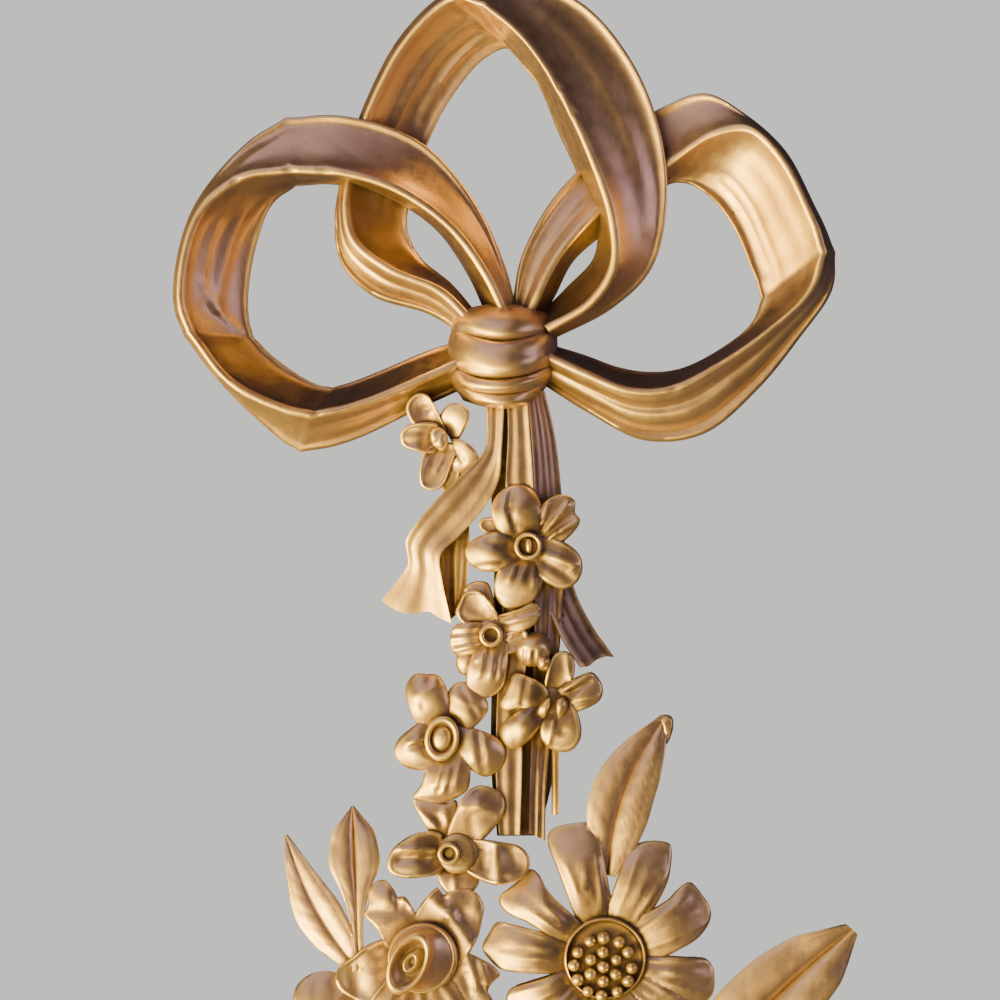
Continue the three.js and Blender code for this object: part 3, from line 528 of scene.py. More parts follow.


# %% The bundle below the knot and its tails
# The dark wash on these strips is mostly painted shade: heaviest in the recess behind the flowers and on the
# strips turned to the right.
strip("recess", [
    ((-1.6, -3.6), (4.0, -3.6), 2.6),
    ((-1.6, -9.0), (4.4, -9.0), 2.5),
    ((-1.2, -14.0), (5.3, -14.0), 2.3),
    ((-0.9, -21.0), (5.6, -21.0), 2.2),
    ((-1.2, -41.0), (5.2, -41.0), 2.0),
    ((-0.6, -48.2), (3.6, -48.2), 1.8),
], rows=30, trough=0.0, wash_and_shade=0.9)
strip("hidden_stem", [
    ((-2.0, -66.0), (4.0, -66.0), 1.8),
    ((-0.5, -78.0), (5.5, -78.0), 1.8),
    ((0.0, -94.0), (4.0, -94.0), 1.8),
], rows=20, trough=0.0)
strip("middle_width", [
    ((0.4, -3.6), (2.4, -3.6), 5.0),
    ((0.5, -8.0), (2.7, -8.0), 5.0),
    ((0.3, -12.0), (3.0, -12.0), 4.9),
    ((0.2, -20.0), (3.2, -20.0), 4.5),
    ((-0.6, -35.0), (2.0, -35.0), 4.3),
    ((-0.7, -42.0), (1.9, -42.0), 4.2),
    ((-0.4, -48.0), (1.7, -48.0), 4.0),
], rows=50, folds=[(0.45, 0.2, 0.22)], wash_and_shade=0.15)
strip("right_width", [
    ((2.4, -3.6), (4.2, -3.6), 4.9, 3.2),
    ((2.8, -8.0), (5.2, -8.0), 4.9, 3.0),
    ((3.1, -13.0), (5.8, -13.0), 4.8, 2.9),
    ((3.2, -20.0), (6.2, -20.0), 4.4, 2.8),
    ((3.0, -35.0), (5.2, -35.0), 4.2, 3.0),
    ((2.7, -42.0), (4.4, -42.0), 4.4, 3.6),
    ((2.6, -47.8), (4.2, -48.6), 4.2, 3.4),
], rows=50, folds=[(0.5, 0.12, 0.25)], wash_and_shade=0.7)
strip("outer_width", [
    ((4.4, -36.0), (6.0, -36.0), 2.9, 3.6),
    ((4.8, -40.0), (5.6, -40.0), 3.0, 3.8),
    ((4.9, -46.0), (5.6, -46.0), 3.0, 3.6),
], rows=24, trough=0.1, rim=0.1, wash_and_shade=0.5)
strip("left_tail", [
    ((-1.8, -3.6), (0.2, -3.6), 4.6, 5.0),
    ((-1.9, -9.5), (-0.1, -9.5), 4.8, 5.0),
    ((-4.1, -11.9), (-0.4, -12.4), 5.1, 4.5),
    ((-6.5, -14.3), (-1.8, -15.2), 5.1, 4.3),
    ((-8.7, -16.9), (-4.4, -18.1), 4.8, 4.1),
    ((-9.7, -18.7), (-6.2, -20.0), 4.2, 4.3),
    ((-9.6, -21.0), (-6.1, -22.3), 3.4, 4.1),
    ((-12.2, -24.6), (-5.2, -26.7), 2.7, 3.3),
], rows=64, trough=0.1, rim=0.16, end=[0.0, 0.5, 0.55, 0.3, -0.5, 0.0, 0.1],
    folds=[(0.3, 0.12, 0.16), (0.55, 0.08, -0.12), (0.76, 0.08, 0.12)])
strip("turned_tail", [
    ((-5.6, -17.6), (-3.4, -16.6), 2.6, 2.8),
    ((-6.3, -20.2), (-3.4, -19.2), 2.5, 3.2),
    ((-6.1, -23.5), (-3.7, -23.3), 2.2, 3.0),
    ((-5.4, -26.6), (-4.4, -25.8), 1.8, 2.6),
], rows=30, trough=0.5, folds=[(0.55, 0.12, 0.4)], wash_and_shade=0.4)
strip("right_tail", [
    ((2.4, -20.0), (6.3, -20.5), 3.6, 1.9),
    ((4.2, -24.5), (7.6, -24.5), 3.4, 1.5),
    ((5.9, -28.5), (9.4, -27.8), 3.2, 1.4),
    ((7.7, -31.3), (11.2, -30.1), 2.9, 1.2),
], rows=36, trough=0.12, end=[0.0, 0.2, -0.2, -0.2, 0.2], folds=[(0.28, 0.05, 0.14), (0.62, 0.05, 0.14)],
    wash_and_shade=0.9)

# %% [markdown]
# Petals
# No two petals of the real piece are alike: each has its own outline, cupped or swollen, with a thin
# rim and a few folds pressed in. So each gets a closed outline on the squared drawing, in tenths of a
# square from the middle of its flower. A square grid bent into a disc is stretched to that outline,
# which gives even faces with no corners, and the folds are lines from a point to a point on it.

# %% One petal
PETAL_GRID = 23
OUTLINE_STEPS = 160  # how finely the smooth curve through an outline is read
FINEST_FOLD = 0.26  # squares, the least half-width of a fold that the grid can carry
EYE_SHARE = 0.25  # how near to the eye the root is drawn, as a share of where it was written
USUAL_WASH_AND_SHADE = 0.5  # how far along its petals the dark wash and painted shade reach, where a flower doesn't say
WASH_AND_SHADE_FADE = 0.6  # the share of a petal over which the wash and painted shade fade out


def even_disc(grid):
    """A grid over a disc, closer towards the rim: how far out each point is, and in what direction."""
    line = np.linspace(-1, 1, grid)
    line = mix(line, np.sin(np.pi / 2 * line), 0.5)
    a, b = np.meshgrid(line, line)
    x, y = a * np.sqrt(1 - b**2 / 2), b * np.sqrt(1 - a**2 / 2)
    return np.hypot(x, y), np.arctan2(y, x)


def outline_radius(outline, centre, direction):
    """How far the closed smooth curve through the outline's points lies from centre."""
    looped = np.vstack([outline[-2:], outline, outline[:3]])
    curve = rail(looped, np.linspace(2, len(looped) - 3, OUTLINE_STEPS)[:-1]) - centre
    angle = np.arctan2(curve[:, 1], curve[:, 0])
    order = np.argsort(angle)
    return np.interp(direction, angle[order], np.hypot(*curve.T)[order], period=2 * np.pi)


def to_line(points, start, end):
    """The distance of points from the line between start and end."""
    along = end - start
    share = np.clip(((points - start) @ along) / max(along @ along, 1e-6), 0, 1)
    return np.linalg.norm(points - (start + share[..., None] * along), axis=-1)


def petal(name, flower, outline, folds=(), rise=0.0, dome=0.0, rim=0.05, tilt=(0, 0), root=0.45, tip=0.25,
          grid=PETAL_GRID):
    """dome swells the petal, or cups it below 0. tilt is how it climbs to the right and upwards. root
    and tip are how far its two ends fall. A fold is (from, to, half-width, height), all in tenths of a
    square but the height."""
    middle = np.array(flower["at"])
    marks = np.array(outline) / 10
    if root:
        outwards = marks.mean(0) / np.linalg.norm(marks.mean(0))
        along = marks @ outwards
        pulled = along * mix(EYE_SHARE, 1, ease(0.3, 0.75, along / along.max()))
        marks += np.outer(pulled - along, outwards)
    centre = marks.mean(0)
    from_middle, direction = even_disc(grid)
    radius = outline_radius(marks, centre, direction)
    place = centre + (from_middle * radius)[..., None] * np.stack([np.cos(direction), np.sin(direction)], -1)
    away = np.linalg.norm(place, axis=-1) / np.linalg.norm(marks, axis=1).max()
    height = flower["out"] + rise + (place - centre) @ np.array(tilt)
    height += -root * (1 - ease(0.15, 0.6, away)) - tip * ease(0.55, 1, away) ** 1.5
    height += dome * (1 - from_middle**2.2)
    height += rim * bump((1 - from_middle) * radius, 0.2, 0.18) - 0.22 * from_middle**12
    for start, end, half, rise_of_fold in folds:
        gap = to_line(place, np.array(start) / 10, np.array(end) / 10)
        height += rise_of_fold * bump(gap, 0, max(half / 10, FINEST_FOLD))
    height += place @ np.array(flower.get("lean", (0, 0)))
    face = np.concatenate([middle + place, height[..., None]], axis=-1)
    # The dark wash, mostly painted shade, lies on the petal's root round the eye and fades out along it.
    reach = flower.get("wash_and_shade", USUAL_WASH_AND_SHADE)
    wash_and_shade = 1 - ease(reach - WASH_AND_SHADE_FADE, reach + 0.05, away)
    raised(name, face, foot_in=0.16, centre=middle + centre * 0.9, lip=LIP, wash_and_shade=wash_and_shade)


def hub(name, flower, radius, shift=(0, 0), rise=-0.35):
    """The mound under a flower's eye that carries the petals' inner ends."""
    out = flower["out"] + rise
    at = np.array(flower["at"]) + shift
    profile = [
        (0, out + 0.1),
        (radius * 0.7, out + 0.08),
        (radius * 0.93, out),
        (radius, out - 0.15),
        (radius * 1.03, out - 0.5),
        (radius, BEHIND),
        (0, BEHIND),
    ]
    # The mound under the eye takes the flower's wash, which is mostly painted shade.
    turned(name, at, profile, wash_and_shade=flower.get("wash_and_shade", USUAL_WASH_AND_SHADE))


def plain_outline(degrees, reach, half, base=0.55, blunt=0.1):
    """The outline of an even petal, for those that the photograph doesn't show, in tenths."""
    turn = np.radians(degrees)
    marks = []
    for t in np.linspace(-np.pi, np.pi, 13)[:-1]:
        along = reach * (0.56 + 0.44 * np.cos(t))
        wide = half * np.sin(t) * mix(base, 1, ease(0.1, 0.7, along / reach))
        wide *= 1 + blunt * (along > reach * 0.7)
        marks.append((along * np.cos(turn) - wide * np.sin(turn), along * np.sin(turn) + wide * np.cos(turn)))
    return [(10 * x, 10 * y) for x, y in marks]


def flutes(degrees, reach, half, count, height, start=0.3, width=0.3):
    """Folds side by side down a petal, spreading from its root."""
    turn = np.radians(degrees)
    folds = []
    for place in np.linspace(-1, 1, count):
        ends = []
        for along, spread in ((start * reach, 0.3), (0.9 * reach, 0.62)):
            wide = place * half * spread
            ends.append((
                10 * (along * np.cos(turn) - wide * np.sin(turn)),
                10 * (along * np.sin(turn) + wide * np.cos(turn)),
            ))
        folds.append((*ends, 10 * width, height))
    return folds


# %% [markdown]
# Eyes of the flowers
# The eye of a small flower is a little turned ring with a hollow in it. One profile, given its outer
# and inner radius, makes them all; an oval or leaning eye only stretches and tilts it.

# %% Turned eyes
def ring_eye(name, flower, outer, inner, rise=0.9, hollow=0.9, oval=(1, 1), turn=0, shift=(0, 0), pearl=0.0):
    """pearl swells the middle of the hollow."""
    out = flower["out"]
    profile = [
        (0, out + rise - hollow + pearl),
        (inner * 0.4, out + rise - hollow + pearl * 0.93),
        (inner * 0.7, out + rise - hollow + pearl * 0.68),
        (inner * 0.9, out + rise - hollow + pearl * 0.25),
        (inner, out + rise - hollow * 0.4),
        (mix(inner, outer, 0.22), out + rise),
        (mix(inner, outer, 0.78), out + rise),
        (outer, out + rise * 0.6),
        (outer * 0.97, out - 0.2),
        (outer * 1.05, out - 0.7),
    ]
    profile = [*map(tuple, smooth_profile(profile, 18)), (outer * 1.05, BEHIND), (0, BEHIND)]

    def spread(angles):
        local = angles - np.radians(turn)
        return 1 / np.sqrt((np.cos(local) / oval[0]) ** 2 + (np.sin(local) / oval[1]) ** 2)

    turned(name, flower["at"], profile, 32, spread, flower.get("lean", (0, 0)), shift)


# %% [markdown]
# Small flowers on the ribbon
# Six blossoms cover the hanging ribbon. Each petal is written as its outline, then its folds, then
# what else is its own. The flowers higher up lie over those below them, so they stand out further.

# %% First and second flower
# The last value of each flower is how far along its petals the dark wash reaches; that wash is mostly painted
# shade.
FIRST = {"at": (-6.5, -8.5), "out": 4.7, "wash_and_shade": 0.3}
petal("first_lower_back", FIRST,
      [(17, -20), (23, -32), (21, -41), (14, -49), (5, -52), (4, -40), (10, -28)], rise=-0.5, rim=0.12)
petal("first_top", FIRST,
      [(-1, 16), (-13, 16), (-26, 20), (-32, 30), (-29, 40), (-20, 47), (-12, 46), (-5, 38), (0, 29),
       (3, 20)],
      [((-16, 30), (-11, 31), 4, -0.3)], dome=-0.41, rim=0.15, tilt=(0.05, 0.08))
petal("first_right", FIRST,
      [(6, 21), (5, 29), (10, 35), (19, 37), (29, 32), (32, 23), (29, 14), (23, 5), (17, 12), (11, 19)],
      dome=0.2, rim=0.04, tilt=(0.35, 0.25))
petal("first_left", FIRST,
      [(8, -1), (2, -9), (-10, -12), (-26, -11), (-36, -5), (-38, 5), (-33, 13), (-22, 18), (-10, 17),
       (2, 10)],
      [((-31, 2), (-12, 4), 3, 0.12)], dome=-0.3, rim=0.15, tilt=(0.04, 0.05))
petal("first_lower", FIRST,
      [(15, -12), (18, -22), (12, -34), (5, -46), (-6, -51), (-16, -47), (-19, -36), (-14, -24),
       (-5, -15), (6, -10)],
      [((4, -14), (-2, -30), 1.5, 0.2), ((9, -14), (3, -24), 1.5, 0.15)], dome=-0.47, rim=0.17)
petal("first_lower_right", FIRST,
      [(22, -7), (30, -5), (38, -11), (41, -20), (37, -30), (29, -37), (20, -37), (14, -30), (18, -24),
       (23, -17)],
      [((19, -13), (25, -22), 2.5, -0.2)], dome=0.34, rim=0.03, tilt=(0.3, 0.32))
petal("first_eye", FIRST,
      [(-6, -3), (-7, 8), (0, 13), (8, 8), (10, -2), (5, -11), (-2, -8)],
      [((1, 9), (-3, 0), 2, -0.2)], rise=0.5, dome=0.47, rim=0.03, root=0, grid=17)

SECOND = {"at": (2.5, -19.1), "out": 5.7, "wash_and_shade": 0.95}
hub("second_hub", SECOND, 1.9)
petal("second_left_back", SECOND,
      [(-18, 15), (-28, 9), (-41, 12), (-49, 19), (-48, 26), (-38, 29), (-26, 25)],
      rise=-0.5, dome=-0.27, rim=0.15)
petal("second_left", SECOND,
      [(-14, 5), (-27, 12), (-41, 13), (-54, 7), (-63, -3), (-61, -14), (-53, -22), (-40, -26),
       (-28, -23), (-17, -15), (-12, -6)],
      [((-18, -4), (-40, 4), 5, -0.25), ((-50, -20), (-28, -18), 3, -0.15)], dome=0.68, rim=0.03, tip=0.5)
petal("second_top", SECOND,
      [(-7, 13), (-20, 16), (-31, 23), (-37, 35), (-33, 48), (-23, 58), (-9, 62), (4, 57), (12, 46),
       (12, 31), (6, 19)],
      [((-17, 52), (-19, 38), 3, -0.35), ((-19, 38), (-12, 16), 3, -0.3)], dome=0.68, rim=0.02, tip=0.5)
petal("second_upper_right", SECOND,
      [(13, 14), (13, 29), (16, 42), (25, 50), (38, 51), (47, 45), (47, 34), (52, 26), (47, 15), (37, 8),
       (24, 6)],
      [((17, 14), (40, 42), 2.2, 0.3), ((21, 9), (50, 25), 2.2, 0.3), ((13, 22), (20, 44), 1.6, 0.2),
       ((19, 11), (47, 34), 1.5, -0.2)], rim=0.05, tilt=(-0.04, 0.02))
petal("second_right", SECOND,
      [(13, -7), (21, 0), (34, 2), (46, -2), (53, -12), (54, -26), (47, -38), (34, -43), (21, -38),
       (13, -27), (8, -16)],
      [((17, -8), (47, -19), 3, 0.25), ((20, -18), (42, -30), 5, -0.2), ((46, -28), (43, -26), 2, 0.2)],
      dome=0.2, rim=0.1)
petal("second_lower", SECOND,
      [(-6, -14), (-18, -18), (-27, -25), (-34, -39), (-31, -53), (-22, -62), (-8, -61), (6, -54),
       (13, -42), (11, -26), (3, -14)],
      [((-13, -19), (-19, -33), 1.4, 0.18), ((-1, -17), (-8, -36), 1.4, 0.18),
       ((6, -20), (6, -38), 1.4, 0.14), ((-33, -48), (-8, -60), 2.5, 0.12)],
      dome=0.34, rim=0.06, tilt=(0, -0.07), tip=0.5)
ring_eye("second_eye", SECOND, 1.4, 0.95, rise=0.75, hollow=0.9)
petal("second_pistil", SECOND,
      [(-1, 9), (-3, 2), (-1, -7), (3, -8), (4, 2), (2, 9)],
      rise=0.35, dome=0.34, root=0, rim=0.0, grid=13)

# %% Third and fourth flower, and the bud between them
THIRD = {"at": (-1.2, -28.0), "out": 5.6, "wash_and_shade": 0.5}
hub("third_hub", THIRD, 1.6)
petal("third_top_back", THIRD,
      [(-27, 45), (-23, 51), (-13, 54), (-3, 52), (1, 43), (2, 32), (-14, 34)], rise=-0.7, dome=0.2)
petal("third_left_back", THIRD,
      [(-33, -19), (-22, -19), (-19, -30), (-24, -40), (-31, -38), (-35, -29)],
      rise=-0.6, dome=0.47, rim=0.03)
petal("third_left", THIRD,
      [(-11, 1), (-15, 9), (-28, 12), (-37, 9), (-41, -3), (-39, -15), (-32, -21), (-21, -19), (-11, -13),
       (-5, -9)],
      [((-12, 7), (-38, 6), 2.2, 0.22), ((-12, -1), (-40, -4), 2.2, 0.22),
       ((-11, -9), (-36, -15), 2.2, 0.22)], dome=0.14, rim=0.06, tip=0.4)
petal("third_lower", THIRD,
      [(-5, -13), (-13, -21), (-21, -33), (-25, -47), (-19, -57), (-7, -63), (5, -59), (13, -48),
       (16, -33), (15, -20), (7, -13)],
      [((-7, -18), (-12, -40), 1.6, 0.2), ((3, -16), (0, -42), 1.6, 0.2),
       ((11, -22), (9, -42), 1.6, 0.16), ((-14, -24), (-5, -14), 1, 0.2)], dome=0.41, rim=0.07, tip=0.6)
petal("third_upper_right", THIRD,
      [(9, 13), (7, 22), (14, 26), (29, 27), (42, 33), (48, 29), (50, 20), (44, 11), (32, 7), (19, 6)],
      [((11, 20), (44, 30), 2, 0.25), ((14, 13), (47, 20), 3, 0.22), ((12, 17), (46, 25), 1.3, -0.15)],
      dome=0.14, rim=0.05, tilt=(0.04, 0.04))
petal("third_top", THIRD,
      [(-5, 13), (-18, 13), (-30, 16), (-35, 22), (-31, 34), (-26, 43), (-14, 45), (-4, 38), (2, 27),
       (2, 17)],
      [((-24, 22), (-12, 18), 4, 0.12)], dome=-0.47, rim=0.19, tilt=(0.04, 0.08))
petal("third_right", THIRD,
      [(12, -10), (19, -1), (26, 5), (35, 5), (37, -5), (29, -15), (17, -20)],
      [((16, -4), (27, 4), 1, 0.15)], rise=-0.2, dome=-0.34, rim=0.15)
ring_eye("third_eye", THIRD, 1.2, 0.65, rise=1.0, hollow=1.2)

BUD = {"at": (3.0, -29.9), "out": 4.9}
petal("bud_small", BUD,
      [(7, -1), (15, -2), (18, -9), (13, -17), (6, -15), (4, -8)],
      rise=0.1, dome=0.68, root=0, rim=0.03, grid=17)
petal("bud", BUD,
      [(-17, 12), (-9, 20), (4, 22), (14, 16), (18, 4), (14, -7), (5, -12), (-6, -12), (-15, -5),
       (-19, 4)],
      [((-8, 4), (-9, -12), 2, -0.22), ((1, 2), (0, -13), 2, -0.25), ((9, 2), (9, -11), 2, -0.2)],
      dome=1.01, rim=0.0, root=0, tip=0.3)

FOURTH = {"at": (4.9, -34.7), "out": 5.1, "wash_and_shade": 0.95}
hub("fourth_hub", FOURTH, 1.5)
petal("fourth_left", FOURTH,
      [(-12, 2), (-18, 17), (-28, 27), (-39, 29), (-44, 19), (-48, 8), (-52, -2), (-47, -9), (-36, -6),
       (-24, -6)],
      [((-37, 26), (-47, -6), 3, 0.1), ((-26, 22), (-30, -2), 3, -0.15)],
      dome=0.34, rim=0.06, tilt=(0.1, 0.04))
petal("fourth_top", FOURTH,
      [(-1, 12), (-4, 27), (-2, 40), (4, 49), (14, 51), (21, 45), (23, 34), (20, 22), (13, 12), (5, 8)],
      [((15, 46), (17, 26), 2, 0.2)], dome=-0.2, rim=0.08, tilt=(-0.03, 0.0))
petal("fourth_right", FOURTH,
      [(11, 12), (20, 20), (31, 28), (40, 30), (48, 22), (51, 12), (48, 2), (40, -4), (30, -8), (21, -8),
       (13, 2)],
      [((13, 13), (37, 28), 1.3, 0.3), ((20, 10), (38, 20), 1.5, -0.22), ((22, 2), (44, 6), 3, 0.15)],
      dome=0.2, rim=0.07)
petal("fourth_lower_left", FOURTH,
      [(-12, -4), (-22, -6), (-34, -10), (-44, -16), (-52, -25), (-53, -36), (-46, -45), (-35, -47),
       (-25, -40), (-18, -28), (-11, -16)],
      [((-40, -14), (-36, -44), 3, -0.12)], rise=-0.1, dome=0.81, rim=0.02, tip=0.5)
petal("fourth_lower", FOURTH,
      [(4, -13), (14, -10), (25, -14), (30, -26), (28, -38), (20, -48), (8, -50), (-4, -45), (-10, -38),
       (-5, -26)],
      [((1, -18), (-4, -42), 1.5, 0.2), ((9, -30), (11, -29), 3.5, -0.18)],
      dome=0.27, rim=0.08, tilt=(0.05, 0.05))
petal("fourth_eye_left", FOURTH,
      [(-15, -12), (-12, -3), (-2, 5), (-3, -6), (-9, -16)],
      rise=0.55, dome=0.41, root=0, rim=0.06, tilt=(0.1, 0.1), grid=15)
petal("fourth_eye_right", FOURTH,
      [(5, 2), (11, 5), (16, -1), (14, -10), (7, -15), (4, -8)],
      rise=0.5, dome=0.41, root=0, rim=0.07, tilt=(-0.1, 0.05), grid=15)

# %% Fifth and sixth flower
FIFTH = {"at": (-6.2, -38.3), "out": 5.0, "lean": (0.06, 0.04), "wash_and_shade": 0.7}
hub("fifth_hub", FIFTH, 1.9)
petal("fifth_upper_right", FIFTH,
      [(9, 38), (8, 48), (15, 55), (25, 56), (37, 48), (46, 38), (47, 28), (41, 19), (33, 16), (21, 22),
       (13, 28)],
      [((20, 50), (36, 22), 3, -0.15), ((12, 44), (30, 34), 3, 0.12)], rise=-0.25, dome=0.61, rim=0.02)
petal("fifth_right", FIFTH,
      [(22, 1), (29, 7), (42, 7), (56, 0), (64, -11), (63, -24), (55, -34), (45, -39), (35, -34),
       (26, -24), (21, -12)],
      [((37, 5), (43, -38), 2.5, -0.28), ((28, 4), (32, -24), 1.6, 0.1)],
      rise=-0.1, dome=0.61, rim=0.02, tip=0.5)
petal("fifth_lower", FIFTH,
      [(-7, -25), (-13, -36), (-20, -48), (-28, -59), (-21, -64), (-8, -68), (5, -65), (17, -59),
       (27, -51), (30, -37), (27, -24), (14, -22)],
      [((0, -30), (-6, -50), 1.6, 0.2), ((9, -27), (2, -54), 1.6, 0.2), ((18, -26), (14, -50), 1.6, 0.15),
       ((-22, -58), (20, -56), 3, 0.15)], rise=0.25, dome=0.34, rim=0.05, tilt=(0, -0.05), tip=0.7)
petal("fifth_left", FIFTH,
      [(-14, 10), (-26, 14), (-36, 7), (-44, -3), (-47, -14), (-42, -24), (-33, -30), (-21, -33),
       (-11, -30), (-7, -20), (-9, -4)],
      [((-31, -4), (-17, 0), 3, 0.25), ((-30, -9), (-17, -6), 1.4, -0.2)], dome=0.54, rim=0.04, tip=0.4)
petal("fifth_top", FIFTH,
      [(-5, 22), (-17, 22), (-29, 29), (-35, 41), (-34, 55), (-26, 64), (-14, 64), (-3, 63), (5, 52),
       (7, 40), (4, 30)],
      [((-11, 66), (-13, 52), 2.5, -0.25), ((-25, 42), (-12, 50), 3.5, 0.15),
       ((-19, 33), (-18, 32), 3, -0.15)], dome=0.74, rim=0.02, tip=0.5)
ring_eye("fifth_eye", FIFTH, 1.75, 1.15, rise=1.0, hollow=0.8, oval=(1, 1.32), turn=-8, pearl=0.8,
         shift=(0.1, 0))

SIXTH = {"at": (-5.4, -49.8), "out": 5.3, "wash_and_shade": 0.8}
hub("sixth_hub", SIXTH, 2.0, shift=(0.9, 0.0), rise=0.0)
petal("sixth_upper_left", SIXTH,
      [(-9, 17), (-17, 25), (-28, 35), (-35, 47), (-36, 54), (-27, 54), (-13, 52), (-2, 50), (7, 53),
       (7, 41), (3, 29), (-2, 19)],
      [((-31, 44), (-14, 26), 3, 0.15), ((-12, 36), (-9, 32), 3.5, -0.2), ((-5, 44), (-2, 28), 3, 0.12)],
      rise=-0.7, dome=0.2)
petal("sixth_lower", SIXTH,
      [(-4, -15), (-9, -27), (-4, -39), (6, -42), (19, -42), (29, -32), (31, -19), (21, -12), (9, -13)],
      [((4, -18), (6, -36), 3, 0.15)], rise=-0.7, dome=0.14, tilt=(0, -0.12))
petal("sixth_upper_right", SIXTH,
      [(13, 13), (10, 28), (11, 43), (14, 55), (21, 64), (33, 68), (46, 64), (54, 56), (56, 45), (51, 33),
       (41, 23), (29, 17), (19, 12)],
      [((15, 48), (30, 49), 6, 0.28), ((30, 49), (49, 41), 6, 0.22), ((22, 34), (24, 20), 4, -0.12),
       ((32, 20), (50, 36), 3, 0.1), ((28, 60), (46, 56), 5, -0.1)], dome=0.14, rim=0.06, tip=0.5)
petal("sixth_left", SIXTH,
      [(-12, 5), (-17, 15), (-27, 20), (-39, 20), (-48, 12), (-58, 2), (-62, -11), (-59, -19), (-49, -24),
       (-37, -25), (-24, -21), (-13, -13)],
      [((-50, 4), (-14, 3), 2.5, 0.3), ((-48, -5), (-24, -5), 5, -0.45), ((-34, -5), (-14, 2), 1.2, 0.15)],
      dome=0.14, rim=0.17, tilt=(-0.04, -0.05))
petal("sixth_right", SIXTH,
      [(29, 11), (41, 12), (56, 11), (71, 7), (80, -3), (80, -16), (73, -25), (61, -30), (49, -32),
       (39, -25), (31, -15), (27, -2)],
      [((46, 8), (49, -30), 6, 0.3), ((62, 0), (66, -10), 7, -0.3), ((61, -21), (63, -20), 5, 0.2),
       ((37, 2), (36, -14), 5, -0.2)], rise=0.1, dome=0.07, rim=0.15)
ring_eye("sixth_eye", SIXTH, 1.15, 0.65, rise=0.9, hollow=0.9, pearl=0.15)
print("forms so far:", len(raised_work))

# %% [markdown]
# Daffodil
# Six wide petals with uneven, lobed ends and a trumpet that leans to the upper left. The trumpet is
# turned like the eyes, but its mouth is a slanting oval, and a thin skirt runs round its foot.

# %% The daffodil
DAFFODIL = {"at": (-8.8, -60.0), "out": 5.0, "wash_and_shade": 0.7}
petal("daffodil_lower_left", DAFFODIL,
      [(-20, -25), (-38, -38), (-50, -56), (-46, -74), (-28, -84), (-8, -78), (0, -55), (-4, -35)],
      flutes(240, 8, 3, 3, 0.15), dome=0.14, rim=0.09, grid=21)
petal("daffodil_lower_right", DAFFODIL,
      [(5, -30), (0, -55), (8, -76), (28, -85), (48, -76), (56, -56), (45, -36), (25, -25)],
      flutes(295, 8, 3, 3, 0.15), dome=0.14, rim=0.09, grid=21)
petal("daffodil_left", DAFFODIL,
      [(-20, 15), (-35, 15), (-47, 12), (-57, 7), (-62, 0), (-70, -7), (-78, -15), (-80, -25), (-75, -35),
       (-65, -42), (-50, -48), (-30, -48), (-17, -38), (-20, -18)],
      [((-60, 4), (-50, 10), 3, 0.2), ((-60, -12), (-56, -34), 8, -0.3), ((-36, 6), (-25, 2), 2, 0.15),
       ((-40, -8), (-26, -4), 2, 0.15), ((-42, -20), (-26, -14), 2, 0.15)],
      dome=-0.14, rim=0.19, tilt=(0.02, 0.0))
petal("daffodil_right", DAFFODIL,
      [(44, 8), (56, 2), (68, -4), (80, -12), (85, -20), (77, -28), (73, -37), (80, -50), (66, -60),
       (50, -50), (40, -35), (36, -12)],
      [((52, 0), (60, -24), 4, 0.25), ((66, -8), (72, -28), 4, 0.2), ((60, -36), (74, -48), 5, 0.2),
       ((48, -14), (56, -40), 3, -0.15)], rise=-0.1, dome=0.2, rim=0.07)
petal("daffodil_upper_right", DAFFODIL,
      [(10, 30), (12, 43), (11, 53), (15, 62), (23, 68), (28, 61), (34, 63), (45, 67), (58, 65), (66, 57),
       (69, 47), (67, 35), (65, 20), (57, 5), (49, 11), (37, 20), (25, 25)],
      [((15, 58), (35, 40), 6, 0.3), ((35, 40), (57, 9), 6, 0.35), ((28, 64), (30, 54), 3, -0.3),
       ((48, 41), (50, 40), 6, -0.3), ((60, 56), (64, 40), 5, 0.15)],
      rise=0.1, dome=0.07, rim=0.11, grid=25)
petal("daffodil_upper_left", DAFFODIL,
      [(-15, 20), (-30, 20), (-37, 25), (-43, 35), (-51, 42), (-47, 50), (-46, 65), (-39, 74), (-30, 75),
       (-22, 67), (-18, 59), (-11, 60), (-4, 53), (3, 47), (8, 40), (3, 30), (-5, 23)],
      [((-48, 43), (-10, 46), 5, -0.2), ((-42, 66), (-28, 56), 7, 0.2), ((-19, 60), (-18, 52), 3, -0.2),
       ((-12, 56), (2, 46), 3, 0.12), ((-36, 28), (-12, 34), 5, 0.12)],
      dome=0.2, rim=0.08, tip=0.5, grid=25)
SKIRT_AT = (-8.0, -60.2)
TRUMPET = [
    (0, 7.0), (0.35, 7.0), (0.5, 7.3), (0.75, 7.38), (0.95, 7.1), (1.3, 6.9), (1.6, 7.1), (1.78, 7.6),
    (1.95, 7.95), (2.3, 8.0), (2.5, 7.7), (2.58, 7.2), (2.75, 6.7), (2.95, 6.35), (3.15, 6.12), (3.28, 6.18),
    (3.42, 6.1), (3.5, 5.6),
]


def trumpet_spread(angles):
    local = angles - np.radians(65)
    return 1 / np.sqrt((np.cos(local) / 1.33) ** 2 + (np.sin(local) / 0.76) ** 2)


trumpet_profile = [*map(tuple, smooth_profile(TRUMPET, 44)), (3.5, BEHIND), (0, BEHIND)]
turned("daffodil_trumpet", SKIRT_AT, trumpet_profile, 64, trumpet_spread, lean=(-0.05, 0.05),
       shift=(-1.4, -0.4))

